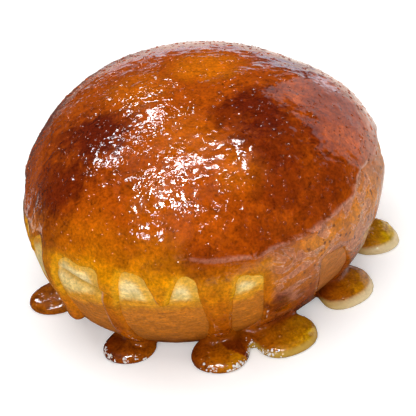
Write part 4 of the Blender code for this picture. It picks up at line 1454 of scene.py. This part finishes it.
class DOUGHNUT_OT_stage(bpy.types.Operator):
    """Build the pale floor, the soft studio light and the camera"""

    bl_idname = "doughnut.stage"
    bl_label = "Stage"

    def execute(self, context):
        self.add_floor()
        for panel in SOFT_PANELS:
            self.add_panel(*panel).visible_glossy = False
        for panel in SHINE_PANELS:
            self.add_panel(*panel).visible_diffuse = False
        self.add_sky()
        self.add_camera()
        return {'FINISHED'}

    def add_floor(self):
        work = bmesh.new()
        bmesh.ops.create_grid(work, x_segments=8, y_segments=8, size=FLOOR_SIZE)
        mesh = bpy.data.meshes.new("floor")
        work.to_mesh(mesh)
        work.free()
        mesh.materials.append(board_material())
        add_object("floor", mesh)

    def add_panel(self, name, turn, elevation, distance, width, height, radiance, tint):
        """A lit rectangle that faces the bun, its power worked out from its radiance."""
        light = bpy.data.lights.new(name, 'AREA')
        light.shape = 'RECTANGLE'
        light.size = width
        light.size_y = height
        light.energy = radiance * math.pi * width * height
        light.color = tint
        panel = add_object(name, light)
        level = math.cos(math.radians(elevation))
        towards = Vector((*(level * heading(turn)), math.sin(math.radians(elevation))))
        panel.location = Vector((AXIS[0], AXIS[1], PANEL_AIM_HEIGHT)) + towards * distance
        panel.rotation_euler = towards.to_track_quat('Z', 'Y').to_euler()
        return panel

    def add_sky(self):
        world = bpy.data.worlds.new("studio")
        world.use_nodes = True
        sky = world.node_tree.nodes["Background"]
        hand = NodeHand(world.node_tree)
        hand.give(sky.inputs['Color'], SKY_COLOUR)
        seen = hand.node('ShaderNodeLightPath').outputs['Is Camera Ray']
        hand.give(sky.inputs['Strength'], hand.ranged(seen, 0.0, 1.0, SKY_STRENGTH, SKY_SEEN))
        bpy.context.scene.world = world
        bpy.context.scene.view_settings.view_transform = 'Standard'

    def add_camera(self):
        back = Vector((0.0, -math.cos(CAMERA_ELEVATION), math.sin(CAMERA_ELEVATION)))
        level_right = Vector((1.0, 0.0, 0.0))
        level_up = Vector((0.0, math.sin(CAMERA_ELEVATION), math.cos(CAMERA_ELEVATION)))
        right = level_right * math.cos(CAMERA_ROLL) + level_up * math.sin(CAMERA_ROLL)
        up = level_up * math.cos(CAMERA_ROLL) - level_right * math.sin(CAMERA_ROLL)
        place = Vector(CAMERA_AIM) + Vector(AXIS) + back * CAMERA_DISTANCE
        lens = bpy.data.cameras.new("camera")
        lens.lens = CAMERA_LENS
        lens.sensor_width = CAMERA_SENSOR
        lens.clip_start = 0.01
        camera = add_object("camera", lens)
        camera.matrix_world = Matrix.Translation(place) @ Matrix((right, up, back)).transposed().to_4x4()
        bpy.context.scene.camera = camera


class DOUGHNUT_PT_panel(bpy.types.Panel):
    """Lists the pieces in the order in which they are made"""

    bl_idname = "DOUGHNUT_PT_panel"
    bl_label = "Caramel Doughnut"
    bl_space_type = 'VIEW_3D'
    bl_region_type = 'UI'
    bl_category = "Doughnut"

    def draw(self, context):
        for name in DoughnutSettings.__annotations__:
            self.layout.prop(context.scene.doughnut, name)
        for operator in OPERATORS:
            self.layout.operator(operator.bl_idname)


OPERATORS = (
    DOUGHNUT_OT_dough, DOUGHNUT_OT_caramel, DOUGHNUT_OT_bubbles, DOUGHNUT_OT_flecks, DOUGHNUT_OT_stage)
CLASSES = (DoughnutSettings, *OPERATORS, DOUGHNUT_PT_panel)


def register():
    for each in CLASSES:
        bpy.utils.register_class(each)
    bpy.types.Scene.doughnut = bpy.props.PointerProperty(type=DoughnutSettings)


def unregister():
    del bpy.types.Scene.doughnut
    for each in reversed(CLASSES):
        bpy.utils.unregister_class(each)


def main():
    register()
    bpy.ops.doughnut.dough()
    bpy.ops.doughnut.caramel()
    bpy.ops.doughnut.bubbles()
    bpy.ops.doughnut.flecks()
    bpy.ops.doughnut.stage()


if __name__ == "__main__":
    main()
